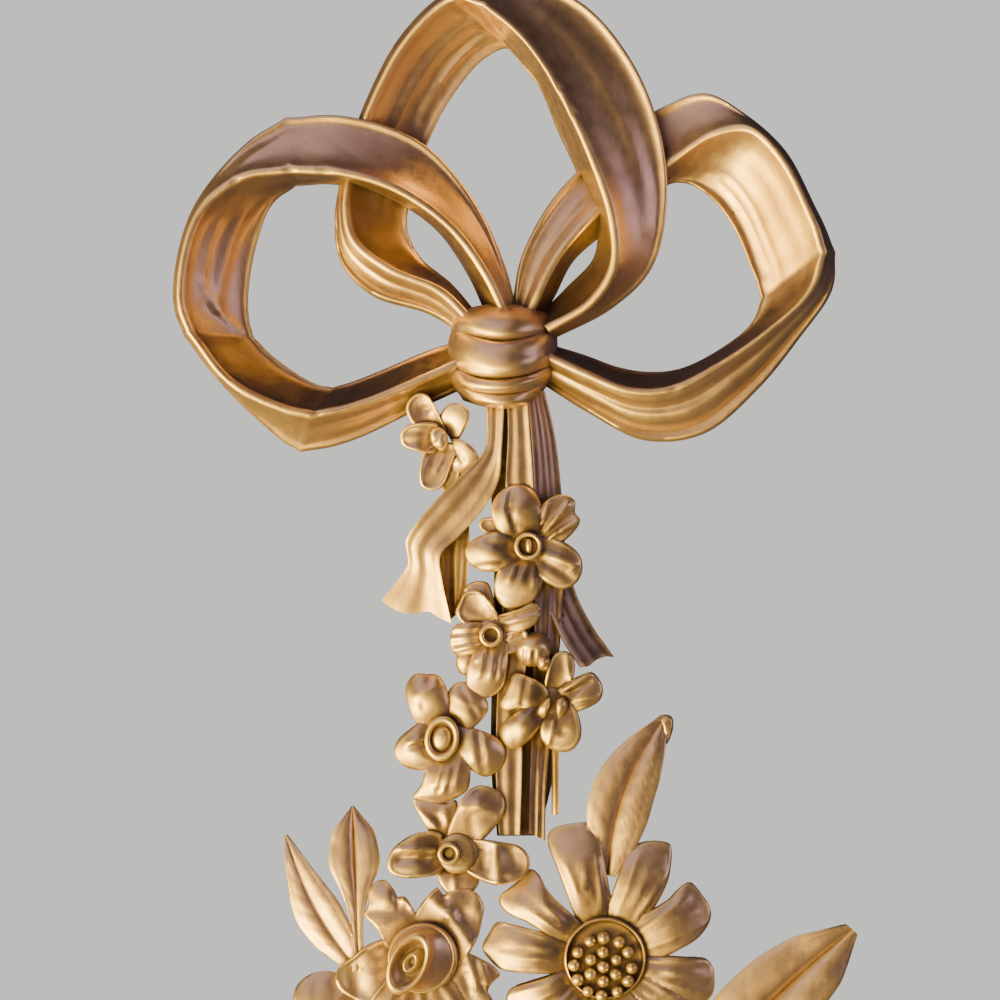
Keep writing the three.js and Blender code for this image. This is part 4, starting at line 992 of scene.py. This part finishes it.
# %% [markdown]
# Daisy
# Eleven long petals round a flat eye full of seeds. Each petal climbs from the eye to a crest past its
# middle and falls to a blunt end, with three ridges down it. The seeds are spheres that don't touch,
# so all of them can be one body.

# %% The daisy
DAISY = {"at": (10.2, -60.6), "out": 4.9, "wash_and_shade": 0.8}
DAISY_FORM = {"root": 1.0, "tip": 0.9, "rim": 0.08, "dome": 0.45, "grid": 25}
# Direction and outline of the petals that the photograph shows
DAISY_PETALS = [
    (200, [(-35, -10), (-50, -14), (-65, -19), (-82, -23), (-95, -28), (-99, -40), (-93, -52), (-80, -57),
           (-62, -52), (-46, -42), (-34, -30)]),
    (351, [(34, 5), (50, 5), (68, 3), (85, 4), (100, 3), (108, -6), (110, -20), (107, -35), (95, -45),
           (76, -45), (56, -42), (40, -32), (33, -14)]),
    (29, [(35, 38), (45, 52), (57, 58), (67, 65), (75, 74), (85, 79), (93, 72), (98, 65), (105, 55),
          (106, 43), (101, 32), (92, 22), (80, 15), (67, 10), (53, 10), (40, 14), (32, 26)]),
    (64, [(8, 50), (9, 65), (13, 80), (16, 94), (22, 108), (32, 117), (43, 120), (55, 120), (65, 117),
          (67, 108), (66, 95), (63, 80), (57, 68), (48, 58), (40, 46), (24, 38)]),
    (137, [(-30, 45), (-43, 55), (-57, 70), (-67, 88), (-75, 92), (-85, 82), (-97, 72), (-106, 64),
           (-104, 54), (-95, 46), (-80, 40), (-65, 32), (-50, 25), (-37, 20), (-26, 30)]),
    (103, [(-2, 58), (-15, 60), (-27, 65), (-35, 68), (-42, 80), (-49, 95), (-55, 110), (-58, 122),
           (-53, 132), (-43, 136), (-30, 138), (-15, 138), (-7, 128), (-2, 110), (0, 90), (2, 70)]),
    (168, [(-40, 5), (-46, 18), (-60, 26), (-75, 31), (-93, 37), (-108, 39), (-116, 28), (-123, 13),
           (-117, 3), (-105, -8), (-90, -11), (-70, -10), (-53, -8), (-40, -6)]),
]
for degrees in (233, 265, 297, 324):
    ridges = flutes(degrees, 11.2, 2.5, 3, 0.16)
    petal(f"daisy_petal_{degrees}", DAISY, plain_outline(degrees, 11.2, 2.5), ridges, **DAISY_FORM)
for degrees, outline in DAISY_PETALS:
    ridges = flutes(degrees, 11.5, 2.6, 3, 0.13)
    petal(f"daisy_petal_{degrees}", DAISY, outline, ridges, **DAISY_FORM)
DAISY_EYE = [
    (0, 4.7), (1.5, 4.65), (2.8, 4.55), (3.6, 4.6), (3.8, 5.2), (3.9, 5.45), (4.05, 5.35), (4.15, 4.9),
]
eye_profile = [*map(tuple, smooth_profile(DAISY_EYE, 22)), (4.15, BEHIND), (0, BEHIND)]
turned("daisy_eye", (10.2, -60.3), eye_profile, steps=64, wash_and_shade=0.6)


def seeds(centre, out, radius, rings):
    """Spheres in rings of (distance, count), each a little off its even place."""
    loose = np.random.default_rng(11)
    turn = np.linspace(0, np.pi, 9)[1:-1]
    angles = np.arange(14) * 2 * np.pi / 14
    shell = np.stack([
        np.outer(np.sin(turn), np.cos(angles)),
        np.outer(np.sin(turn), np.sin(angles)),
        np.outer(np.cos(turn), np.ones(len(angles))),
    ], axis=-1).reshape(-1, 3)
    ball = np.concatenate([[[0, 0, 1]], shell, [[0, 0, -1]]])
    ring = np.arange(len(angles))
    ahead = np.roll(ring, -1)
    last = 1 + (len(turn) - 1) * len(angles)
    faces = np.concatenate([
        np.stack([0 * ring, 1 + ring, 1 + ahead], 1),
        grid_triangles(len(turn), len(angles), 1, around=True),
        np.stack([np.full(len(angles), len(ball) - 1), last + ahead, last + ring], 1),
    ])
    corners, triangles = [], []
    for distance, count in rings:
        for number in range(count):
            degrees = 360 * (number + distance / 3) / count + loose.uniform(-2, 2)
            place = step_round(centre, degrees, distance + loose.uniform(-0.03, 0.03))
            size = radius * loose.uniform(0.85, 1.0)
            height = out + loose.uniform(-0.15, 0.1) - 0.1 * distance
            triangles.append(faces + len(ball) * len(corners))
            corners.append(ball * (size, size, size * 1.3) + [place[0], place[1], height])
    keep("daisy_seeds", np.concatenate(corners), np.concatenate(triangles))


seeds((10.0, -61.1), 5.65, 0.68, [(0, 1), (1.45, 6), (2.88, 12)])

# %% [markdown]
# Leaves
# A leaf is a long form with a groove down its middle, side veins pressed in at a slant, two swelling
# halves and a raised edge. Its outline is a row of half-widths from stalk to tip, so that a slim leaf
# and a full one share one function.

# %% One leaf
LEAF_ROWS = 35
LEAF_COLUMNS = 19
LEAF_VEINS = 4
CURL = 0.35  # how far a leaf turns over towards its tip
PLAIN_LEAF = (0.39, 0.88, 1.0, 0.89, 0.59, 0.06)  # half-widths at even steps, as shares of the widest


def leaf(name, start, tip, half, bend, out, veins, turn=0.0, shape=PLAIN_LEAF, groove=0.1, edge=0.14):
    """turn is how steeply it climbs to its left; veins are their depth on the left and the right."""
    across, up = tip[0] - start[0], tip[1] - start[1]
    length = np.hypot(across, up)
    degrees = np.degrees(np.arctan2(up, across))
    share = np.linspace(0, 1, LEAF_ROWS)
    side = np.linspace(-1, 1, LEAF_COLUMNS)
    arch = np.sin(np.pi * share)
    width = half * rail(np.array(shape)[:, None], share * (len(shape) - 1))[:, 0]
    forward = np.array([np.cos(np.radians(degrees)), np.sin(np.radians(degrees))])
    left = np.array([-forward[1], forward[0]])
    middle = np.array(start) + np.outer(length * share, forward) + np.outer(bend * arch, left)
    face = np.zeros((LEAF_ROWS, LEAF_COLUMNS, 3))
    face[..., :OUT] = middle[:, None] + side[None, :, None] * width[:, None, None] * left
    height = mix(out[0], out[1], share) + arch / 2
    swell = 0.14 * np.sin(np.pi * np.abs(side)) ** 0.8 - groove * bump(side, 0, 0.07)
    face[..., OUT] = height[:, None] + swell[None] * width[:, None]
    slant = share[:, None] * LEAF_VEINS * 2 - np.abs(side)[None] * 1.4
    inside = ease(0.02, 0.2, np.abs(side)) * (1 - ease(0.7, 0.95, np.abs(side)))
    depth = np.where(side > 0, veins[0], veins[1])
    face[..., OUT] -= depth * (np.cos(np.pi * slant) ** 10) * inside[None] * arch[:, None]
    face[..., OUT] += edge * bump(np.abs(side), 0.94, 0.07)[None] * np.minimum(1, width)[:, None]
    face[..., OUT] += width[:, None] * side[None] * (turn + CURL * ease(0.75, 1, share))[:, None]
    raised(name, face, foot_in=0.2, lip=LIP)


# %% The leaves
# Stalk end, tip, half-width, bend to the left, how far out both ends are, and depth of the veins.
# The first four show in the photograph, so they also have their own turn and half-widths, and two of
# them their own depth of the middle groove.
LEAVES = [
    ((-15.1, -60.7), (-21.8, -48.1), 2.35, 0.7, (4.0, 2.2), (0.03, 0.03), -0.22,
     (0.5, 0.88, 1, 0.8, 0.47, 0.04), 0.01),
    ((-14.4, -61.6), (-15.1, -45.2), 2.65, 0.0, (4.6, 2.6), (0.02, 0.02), -0.08,
     (0.25, 0.22, 0.27, 0.58, 0.97, 0.82, 0.04)),
    ((10.4, -52.0), (16.3, -36.1), 3.2, 1.3, (4.0, 3.0), (0.03, 0.12), -0.05,
     (0.25, 0.8, 1, 0.93, 0.62, 0.1), 0.06),
    ((19.0, -74.0), (35.0, -57.5), 4.5, 0.8, (2.8, 3.6), (0.03, 0.12), 0.0,
     (0.39, 0.85, 1, 0.95, 0.74, 0.16)),
    ((-20.0, -72.0), (-33.5, -81.0), 4.0, 0.6, (3.4, 1.8), (0.08, 0.08)),
    ((-12.0, -79.0), (-20.5, -91.5), 3.3, -0.6, (3.4, 1.8), (0.08, 0.08)),
    ((20.0, -73.0), (32.5, -84.0), 3.8, -0.6, (3.4, 1.8), (0.08, 0.08)),
    ((10.5, -82.0), (20.0, -93.5), 3.2, 0.6, (3.4, 1.8), (0.08, 0.08)),
    ((0.5, -90.0), (-8.0, -99.0), 2.8, -0.5, (3.4, 1.8), (0.08, 0.08)),
    ((4.0, -95.0), (11.5, -102.5), 2.6, 0.5, (3.2, 1.8), (0.08, 0.08)),
    ((3.5, -94.0), (1.5, -106.4), 2.8, 0.0, (3.2, 1.8), (0.08, 0.08)),
]
for number, form in enumerate(LEAVES):
    leaf(f"leaf_{number}", *form)
CURLED_TIP = {"at": (16.2, -36.5), "out": 3.0}
petal("leaf_2_curled_tip", CURLED_TIP,
      [(-6, 3), (0, 5), (7, 3), (9, -4), (7, -15), (2, -25), (-1, -14), (-3, -4)],
      dome=0.3, rim=0.06, root=0, grid=17)

# %% [markdown]
# Lower flowers
# The drop goes on to a tip below what the photograph shows. These flowers are in keeping with the
# ones above and plainer: five even petals each, with the same eyes.

# %% The lower flowers
LOWER_FLOWERS = [
    {"at": (-17.8, -70.0), "out": 4.4, "first": 18, "reach": 8.4, "eye": 1.6},
    {"at": (-0.2, -73.4), "out": 5.4, "first": 50, "reach": 9.0, "eye": 1.6},
    {"at": (18.6, -73.0), "out": 4.2, "first": 18, "reach": 6.8, "eye": 1.2},
    {"at": (-9.6, -78.5), "out": 4.4, "first": 40, "reach": 6.4, "eye": 1.2},
    {"at": (8.8, -81.5), "out": 4.6, "first": 5, "reach": 6.4, "eye": 1.2},
    {"at": (-0.6, -86.5), "out": 5.0, "first": 54, "reach": 6.2, "eye": 1.2},
    {"at": (3.6, -94.5), "out": 4.4, "first": 25, "reach": 5.4, "eye": 1.1},
]
PETALS = 5
for number, flower in enumerate(LOWER_FLOWERS):
    name = f"lower_flower_{number}"
    reach = flower["reach"]
    hub(f"{name}_hub", flower, reach * 0.3)
    for degrees in flower["first"] + 360 // PETALS * np.arange(PETALS):
        folds = flutes(degrees, reach, reach * 0.38, 3, 0.14, start=0.25)
        petal(f"{name}_petal_{degrees}", flower, plain_outline(degrees, reach, reach * 0.38), folds,
              dome=0.25, tip=0.6, grid=17)
    ring_eye(f"{name}_eye", flower, flower["eye"], flower["eye"] * 0.6)
print("forms to fuse:", len(raised_work))

# %% [markdown]
# Fusing and sawing flat
# The forms are fused with one Boolean modifier that takes a whole collection, then a block behind the
# wall plane and the hanging keyhole are cut away. The Manifold solver is quick and always gives back a
# closed mesh, which also leaves no hidden faces inside.

# %% Cutters
KEYHOLE_HEAD = 0.0045  # metres, radius of the round that takes the screw's head
KEYHOLE_NECK = 0.0023
KEYHOLE_DEPTH = 0.003
KEYHOLE_TRAVEL = 0.006
KEYHOLE_RISE = 0.007
BLOCK = 0.6  # metres, more than the whole plaque
BLOCK_DEPTH = 0.02  # metres, more than the forms reach behind the wall plane


def prism(name, outline, front, back):
    """A closed prism on an outline of (x, z) in metres, between two values of y."""
    count = len(outline)
    corners = [(x, front, z) for x, z in outline] + [(x, back, z) for x, z in outline]
    faces = [tuple(range(count)), tuple(range(2 * count - 1, count - 1, -1))]
    faces += [(i, count + i, count + (i + 1) % count, (i + 1) % count) for i in range(count)]
    mesh = bpy.data.meshes.new(name)
    mesh.from_pydata(corners, [], faces)
    return bpy.data.objects.new(name, mesh)


def keyhole():
    mouth = np.arcsin(KEYHOLE_NECK / KEYHOLE_HEAD)
    head = np.linspace(np.pi / 2 + mouth, np.pi * 2.5 - mouth, 28)
    neck = np.linspace(0, np.pi, 14)
    outline = [(KEYHOLE_HEAD * np.cos(t), KEYHOLE_RISE + KEYHOLE_HEAD * np.sin(t)) for t in head]
    top = KEYHOLE_RISE + KEYHOLE_TRAVEL
    outline += [(KEYHOLE_NECK * np.cos(t), top + KEYHOLE_NECK * np.sin(t)) for t in neck]
    return prism("keyhole", outline, -KEYHOLE_DEPTH, KEYHOLE_DEPTH)


def square_corners(half):
    return [(-half, -half), (half, -half), (half, half), (-half, half)]


waste = prism("waste", square_corners(BLOCK), 0.0, BLOCK_DEPTH)
keyhole_cutter = keyhole()

# %% Fuse the forms and cut
scene = bpy.context.scene
bench = bpy.data.collections.new("bench")
scene.collection.children.link(bench)
first_form, *others = raised_work
for form in others:
    bench.objects.link(form)
for form in (first_form, waste, keyhole_cutter):
    scene.collection.objects.link(form)


def boolean(obj, operation, tool):
    modifier = obj.modifiers.new(operation, "BOOLEAN")
    modifier.solver = "MANIFOLD"
    modifier.operation = operation
    if isinstance(tool, bpy.types.Collection):
        modifier.operand_type = "COLLECTION"
        modifier.collection = tool
    else:
        modifier.object = tool


boolean(first_form, "UNION", bench)
boolean(first_form, "DIFFERENCE", waste)
boolean(first_form, "DIFFERENCE", keyhole_cutter)
fused = first_form.evaluated_get(bpy.context.evaluated_depsgraph_get())
accent_mesh = bpy.data.meshes.new_from_object(fused)
for form in (*raised_work, waste, keyhole_cutter):
    bpy.data.objects.remove(form)
bpy.data.collections.remove(bench)
accent = bpy.data.objects.new("gilded_bow_and_flowers", accent_mesh)
accent_mesh.name = accent.name
accent_mesh.materials.clear()
scene.collection.objects.link(accent)
print("triangles:", len(accent_mesh.polygons), "corners:", len(accent_mesh.vertices))

# %% [markdown]
# Where the gold is rubbed
# On the real piece a dark glaze stays in the hollows, and the high rims are rubbed bright. Both follow the
# surface's bend, so we measure it at every corner of the mesh: how much the normals of two neighbours spread
# apart for the distance between them. The material reads it as an attribute, as it reads the wash and painted
# shade that each form brought along.

# %% Measure the bend of the surface
SHARP_FROM = 62  # degrees between two faces, from which the edge between them looks sharp
MILLIMETRE = 0.001
MOST_BEND = 1.5  # per millimetre
LONGEST_WEIGHT = 0.002  # metres; edges weigh by their length, up to this
TOUCHING = 1e-5  # metres; a corner this near to the wall plane lies on the flat back
BACK_WASH = 0.4
accent_mesh.shade_smooth()
accent_mesh.set_sharp_from_angle(angle=np.radians(SHARP_FROM))


def read(collection, name, width):
    values = np.empty(len(collection) * width, dtype=np.float64 if width == 3 else np.int64)
    collection.foreach_get(name, values)
    return values.reshape(-1, width)


place = read(accent_mesh.vertices, "co", 3)
normal = read(accent_mesh.vertices, "normal", 3)
edges = read(accent_mesh.edges, "vertices", 2)
one, other = edges.T
apart = place[other] - place[one]
length = np.linalg.norm(apart, axis=1)
spread = ((normal[other] - normal[one]) * apart).sum(1) / np.maximum(length, 1e-5) ** 2
spread = np.clip(spread * MILLIMETRE, -MOST_BEND, MOST_BEND)
weight = np.minimum(length, LONGEST_WEIGHT)


def gathered_at_corners(at_one, at_other):
    """At every corner, the sum over its edges of what each edge brings to its two ends."""
    return np.bincount(one, at_one, len(place)) + np.bincount(other, at_other, len(place))


def average_over_edges(edge_values):
    total = gathered_at_corners(edge_values * weight, edge_values * weight)
    return total / np.maximum(gathered_at_corners(weight, weight), 1e-9)


bend = average_over_edges(spread)
for _ in range(2):
    bend = average_over_edges((bend[one] + bend[other]) / 2)
on_back = place[:, 1] > -TOUCHING
bend[on_back] = 0
attribute = accent_mesh.attributes.new("bend", "FLOAT", "POINT")
attribute.data.foreach_set("value", bend.astype(np.float32))

# The fusing made new corners where forms meet, and each takes the mean wash and painted shade of its
# neighbours. The flat back only has corners along its outline, so it gets one even wash.
layer = accent_mesh.attributes["wash_and_shade"].data
wash_and_shade = np.empty(len(layer), np.float32)
layer.foreach_get("value", wash_and_shade)
known = (wash_and_shade > 0.5).astype(float)
count = gathered_at_corners(known[other], known[one])
total = gathered_at_corners((wash_and_shade * known)[other], (wash_and_shade * known)[one])
wash_and_shade = np.where(known > 0, wash_and_shade, total / np.maximum(count, 1)) - 1
wash_and_shade[on_back] = BACK_WASH
layer.foreach_set("value", np.clip(wash_and_shade, 0, 1).astype(np.float32))
print("corners with a known wash:", int(known.sum()), "of", len(known), "mean", round(float(wash_and_shade.mean()), 3))
print("bend from", round(float(bend.min()), 2), "to", round(float(bend.max()), 2))

# %% [markdown]
# Antique gold
# Metallic gold paint over moulded resin: warm gold that turns to a mauve bronze in random patches, with
# painted mauve reflections at listed places; a dark wash inside the loops, behind the flowers and round the
# eyes that is mostly painted shade; a brown glaze in the hollows, deepened by painted shade where ambient
# occlusion finds near surfaces; bright rubbed rims, and faint brush marks. All of it is made from noise, the
# measured bend, ambient occlusion, the listed places and the wash and shade of each form. The shader is
# metallic, so its colour is the tint of its reflections.

# %% Build the gold
material = bpy.data.materials.new("antique_gold_paint")
material.use_nodes = True
nodes, links = material.node_tree.nodes, material.node_tree.links
nodes.clear()


def node(kind, inputs=None, **settings):
    """Add a node, set its properties, and set or link its inputs by name or number."""
    made = nodes.new(kind)
    for name, value in settings.items():
        setattr(made, name, value)
    for name, value in (inputs or {}).items():
        if isinstance(value, bpy.types.NodeSocket):
            links.new(value, made.inputs[name])
        else:
            made.inputs[name].default_value = value
    return made


def noise(scale, detail=3.0, roughness=0.5):
    inputs = {"Vector": where, "Scale": scale, "Detail": detail, "Roughness": roughness}
    return node("ShaderNodeTexNoise", inputs).outputs["Fac"]


def between(value, low, high, to_low=0.0, to_high=1.0):
    inputs = {"Value": value, 1: low, 2: high, 3: to_low, 4: to_high}
    return node("ShaderNodeMapRange", inputs, clamp=True).outputs["Result"]


def maths(operation, first, second=0.0):
    return node("ShaderNodeMath", {0: first, 1: second}, operation=operation, use_clamp=True).outputs[0]


def blend_colours(share, first, second):
    inputs = {0: share, 6: first, 7: second}
    return node("ShaderNodeMix", inputs, data_type="RGBA").outputs[2]


where = node("ShaderNodeTexCoord").outputs["Object"]
bend_here = node("ShaderNodeAttribute", attribute_name="bend").outputs["Fac"]
patches = noise(38.0, 3.0, 0.55)
mottle = noise(240.0, 4.0, 0.6)
grain = noise(1500.0, 3.0, 0.6)
along_brush = node("ShaderNodeVectorMath", {0: where, 1: (1.0, 1.0, 0.2)}, operation="MULTIPLY").outputs[0]
brushed = node("ShaderNodeTexNoise", {"Vector": along_brush, "Scale": 620.0, "Detail": 3.0}).outputs["Fac"]

GOLD = (0.84, 0.62, 0.46, 1)
BRONZE = (0.66, 0.47, 0.37, 1)
MAUVE_TONE_AND_REFLECTION = (0.64, 0.45, 0.44, 1)
RUBBED = (1.0, 0.78, 0.40, 1)
GLAZE_AND_SHADE = (0.10, 0.066, 0.055, 1)
WASH_AND_SHADE = (0.17, 0.125, 0.12, 1)
CHIP = (0.85, 0.80, 0.72, 1)
# Places where a mauve reflection is painted on the bronze: across, up and out, size, all in squares, and
# strength
MAUVE_REFLECTION_PLACES = [
    (13.6, 16.4, 6.0, 5.0, 0.9),
    (-9.5, 28.5, 3.5, 6.5, 0.75),
    (-12.5, 14.5, 3.0, 5.5, 0.8),
    (-28.5, 9.0, 3.5, 6.5, 0.8),
    (-27.0, 15.0, 3.5, 4.0, 0.5),
    (26.5, 9.5, 3.5, 5.0, 0.7),
    (-12.5, -3.5, 3.0, 4.5, 0.4),
    (2.2, -16.5, 6.0, 2.6, 0.8),
    (1.0, -36.0, 4.0, 2.4, 0.6),
]


def near(across, up, out, size, core):
    """1 within the core of a place in squares, and 0 from its size on. Depth counts for less."""
    centre = (across * SQUARE, -out * SQUARE, up * SQUARE)
    flat = node("ShaderNodeVectorMath", {0: where, 1: centre}, operation="SUBTRACT").outputs[0]
    squashed = node("ShaderNodeVectorMath", {0: flat, 1: (1, 0.25, 1)}, operation="MULTIPLY").outputs[0]
    away = node("ShaderNodeVectorMath", {0: squashed}, operation="LENGTH").outputs["Value"]
    return between(away, size * SQUARE, core * SQUARE)


paint = blend_colours(between(patches, 0.40, 0.62), GOLD, BRONZE)
# Mauve bronze in random patches, and painted mauve reflections at the listed places.
mauve_tone_and_reflection_here = between(noise(21.0, 2.0, 0.5), 0.54, 0.68, 0.0, 0.6)
for *place, size, strength in MAUVE_REFLECTION_PLACES:
    uneven = between(patches, 0.3, 0.5, strength * 0.5, strength)
    reflection_here = maths("MULTIPLY", near(*place, size, size * 0.2), uneven)
    mauve_tone_and_reflection_here = maths("MAXIMUM", mauve_tone_and_reflection_here, reflection_here)
paint = blend_colours(mauve_tone_and_reflection_here, paint, MAUVE_TONE_AND_REFLECTION)
paint = blend_colours(between(brushed, 0.45, 0.7, 0.0, 0.35), paint, BRONZE)
# Painted shade with the dark wash: the wash attribute darkens the inner faces of the loops, the recess behind
# the flowers, the petals' roots round the eyes and the strips turned from the light.
wash_and_shade_here = node("ShaderNodeAttribute", attribute_name="wash_and_shade").outputs["Fac"]
wash_and_shade_here = maths("MULTIPLY", wash_and_shade_here, between(mottle, 0.2, 0.6, 1.0, 0.8))
paint = blend_colours(wash_and_shade_here, paint, WASH_AND_SHADE)
rubbed_here = maths("MULTIPLY", between(bend_here, 0.02, 0.22), between(mottle, 0.25, 0.5, 0.5, 1.0))
paint = blend_colours(rubbed_here, paint, RUBBED)
# Brown glaze in the concave hollows, and painted shade where ambient occlusion finds near surfaces, between
# petals and under overlapping parts.
open_sky = node("ShaderNodeAmbientOcclusion", {"Distance": 0.009}, samples=8).outputs["AO"]
hollow = maths("ADD", between(bend_here, -0.07, -0.5), between(open_sky, 0.85, 0.3, 0.0, 1.0))
glaze_and_shade_here = maths("MULTIPLY", hollow, between(mottle, 0.3, 0.6, 1.0, 0.7))
paint = blend_colours(glaze_and_shade_here, paint, GLAZE_AND_SHADE)

roughness = maths("ADD", between(glaze_and_shade_here, 0.0, 1.0, 0.34, 0.60), between(mottle, 0.35, 0.7, -0.03, 0.08))
metal = between(glaze_and_shade_here, 0.0, 1.0, 0.92, 0.5)
relief = maths("ADD", between(mottle, 0.2, 0.8, 0.0, 0.5), between(grain, 0.2, 0.8, 0.0, 0.2))
relief = maths("ADD", relief, between(brushed, 0.2, 0.8, 0.0, 0.3))
marks = node("ShaderNodeBump", {"Strength": 0.35, "Distance": 0.00025, "Height": relief}).outputs["Normal"]

# %% Chips where the pale resin shows
# Four tiny chips: across, up, out and size, in squares
CHIPS = [
    (-1.7, 5.2, 4.6, 0.32),
    (-4.8, 9.0, 3.4, 0.28),
    (11.7, -48.8, 3.4, 0.34),
    (15.7, -62.6, 4.6, 0.3),
]
chipped = 0.0
for *place, size in CHIPS:
    chipped = maths("MAXIMUM", near(*place, size, size * 0.6), chipped)
paint = blend_colours(chipped, paint, CHIP)
metal = maths("MULTIPLY", metal, between(chipped, 0.0, 1.0, 1.0, 0.0))

shader = node("ShaderNodeBsdfPrincipled", {
    "Base Color": paint,
    "Metallic": metal,
    "Roughness": roughness,
    "Normal": marks,
})
node("ShaderNodeOutputMaterial", {"Surface": shader.outputs[0]})
accent_mesh.materials.append(material)

# %% Put the piece in the frame
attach(accent, "root")
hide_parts("floral_wall_accent")

# %% [markdown]
# Floor, light and camera
# Gold shows what it reflects, so the light matters as much as the paint: a broad warm light from the
# lower left in front, three weak ones from above, from the front and, a little mauve, from the right,
# and a pale plain floor below. The camera looks straight at the wall from far off, as flat as the
# squared drawing, and frames the upper part.

# %% A plain pale floor
FLOOR_SIZE = 3.0
FLOOR_GAP = 0.9  # the plaque hangs on a wall, this far above the floor at its lowest
lowest = packed_box[0][2]
floor_mesh = bpy.data.meshes.new("floor")
floor_corners = [(x, y, lowest - FLOOR_GAP) for x, y in square_corners(FLOOR_SIZE / 2)]
floor_mesh.from_pydata(floor_corners, [], [(0, 1, 2, 3)])
floor = bpy.data.objects.new("floor", floor_mesh)
scene.collection.objects.link(floor)
floor_material = bpy.data.materials.new("pale_floor")
floor_material.use_nodes = True
floor_shader = floor_material.node_tree.nodes["Principled BSDF"]
floor_shader.inputs["Base Color"].default_value = (0.62, 0.60, 0.57, 1)
floor_shader.inputs["Roughness"].default_value = 0.8
floor_mesh.materials.append(floor_material)
floor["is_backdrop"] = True

# %% Soft studio light
def area_light(name, place, target, size, power, colour):
    data = bpy.data.lights.new(name, "AREA")
    data.shape = "DISK"
    data.size = size
    data.energy = power
    data.color = colour
    light = bpy.data.objects.new(name, data)
    light.location = place
    aim = np.array(target) - np.array(place)
    light.rotation_euler = Vector(aim).to_track_quat("-Z", "Y").to_euler()
    scene.collection.objects.link(light)


CENTRE = (0.0, 0.0, -0.1)
area_light("warm_key", (-1.0, -0.9, -0.85), CENTRE, 0.9, 34, (1.0, 0.71, 0.17))
area_light("overhead", (-0.45, -0.75, 1.0), CENTRE, 1.5, 3.2, (1.0, 0.80, 0.92))
area_light("front_soft", (-0.5, -1.7, 0.5), CENTRE, 1.2, 1.6, (1.0, 0.74, 0.40))
area_light("mauve_fill", (1.3, -0.5, 0.15), CENTRE, 0.7, 1.8, (1.0, 0.74, 0.84))

world = bpy.data.worlds.new("studio")
world.use_nodes = True
scene.world = world
nodes, links = world.node_tree.nodes, world.node_tree.links
nodes.clear()
direction = node("ShaderNodeTexCoord").outputs["Generated"]
TO_KEY = Vector((-0.6, -0.3, -0.72)).normalized()
facing = node("ShaderNodeVectorMath", {0: direction, 1: TO_KEY}, operation="DOT_PRODUCT")
towards_key = facing.outputs["Value"]
ramp = node("ShaderNodeValToRGB", {"Fac": between(towards_key, -1.0, 1.0)})
STUDIO_TONES = [
    (0.0, (0.035, 0.030, 0.038, 1)),
    (0.40, (0.060, 0.050, 0.060, 1)),
    (0.58, (0.09, 0.074, 0.085, 1)),
    (0.68, (0.19, 0.156, 0.155, 1)),
    (0.80, (1.7, 1.17, 0.40, 1)),
    (0.92, (9.5, 6.2, 0.46, 1)),
    (1.0, (14.0, 9.2, 0.60, 1)),
]
while len(ramp.color_ramp.elements) < len(STUDIO_TONES):
    ramp.color_ramp.elements.new(0.5)
for stop, (position, tone) in zip(ramp.color_ramp.elements, STUDIO_TONES):
    stop.position = position
    stop.color = tone
around = node("ShaderNodeBackground", {"Color": ramp.outputs["Color"]})
seen = node("ShaderNodeBackground", {"Color": (0.80, 0.79, 0.77, 1)})
camera_ray = node("ShaderNodeLightPath").outputs["Is Camera Ray"]
chooser = node("ShaderNodeMixShader", {0: camera_ray, 1: around.outputs[0], 2: seen.outputs[0]})
node("ShaderNodeOutputWorld", {"Surface": chooser.outputs[0]})

# %% Camera
PIXEL = 0.00035  # metres that one pixel of the photograph covers
KNOT_PIXEL = (503, 355)  # where the origin is in the photograph
PHOTO_WIDTH = 1000
PHOTO_MIDDLE = (500, 500)
DISTANCE = 2.4
FACE_DEPTH = 0.015  # the front of the plaque, on average, before the wall
camera_data = bpy.data.cameras.new("camera")
camera_data.sensor_width = 36
camera_data.lens = camera_data.sensor_width * (DISTANCE - FACE_DEPTH) / (PHOTO_WIDTH * PIXEL)
camera = bpy.data.objects.new("camera", camera_data)
camera.location = (
    (PHOTO_MIDDLE[0] - KNOT_PIXEL[0]) * PIXEL,
    -DISTANCE,
    (KNOT_PIXEL[1] - PHOTO_MIDDLE[1]) * PIXEL,
)
camera.rotation_euler = (np.pi / 2, 0, 0)
scene.collection.objects.link(camera)
scene.camera = camera

# %% Sizes and the end
visual_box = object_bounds()
boxes = {"packed": [list(corner) for corner in packed_box], "visual": [list(corner) for corner in visual_box]}
print("visual box in metres:", [tuple(round(v, 4) for v in corner) for corner in visual_box])
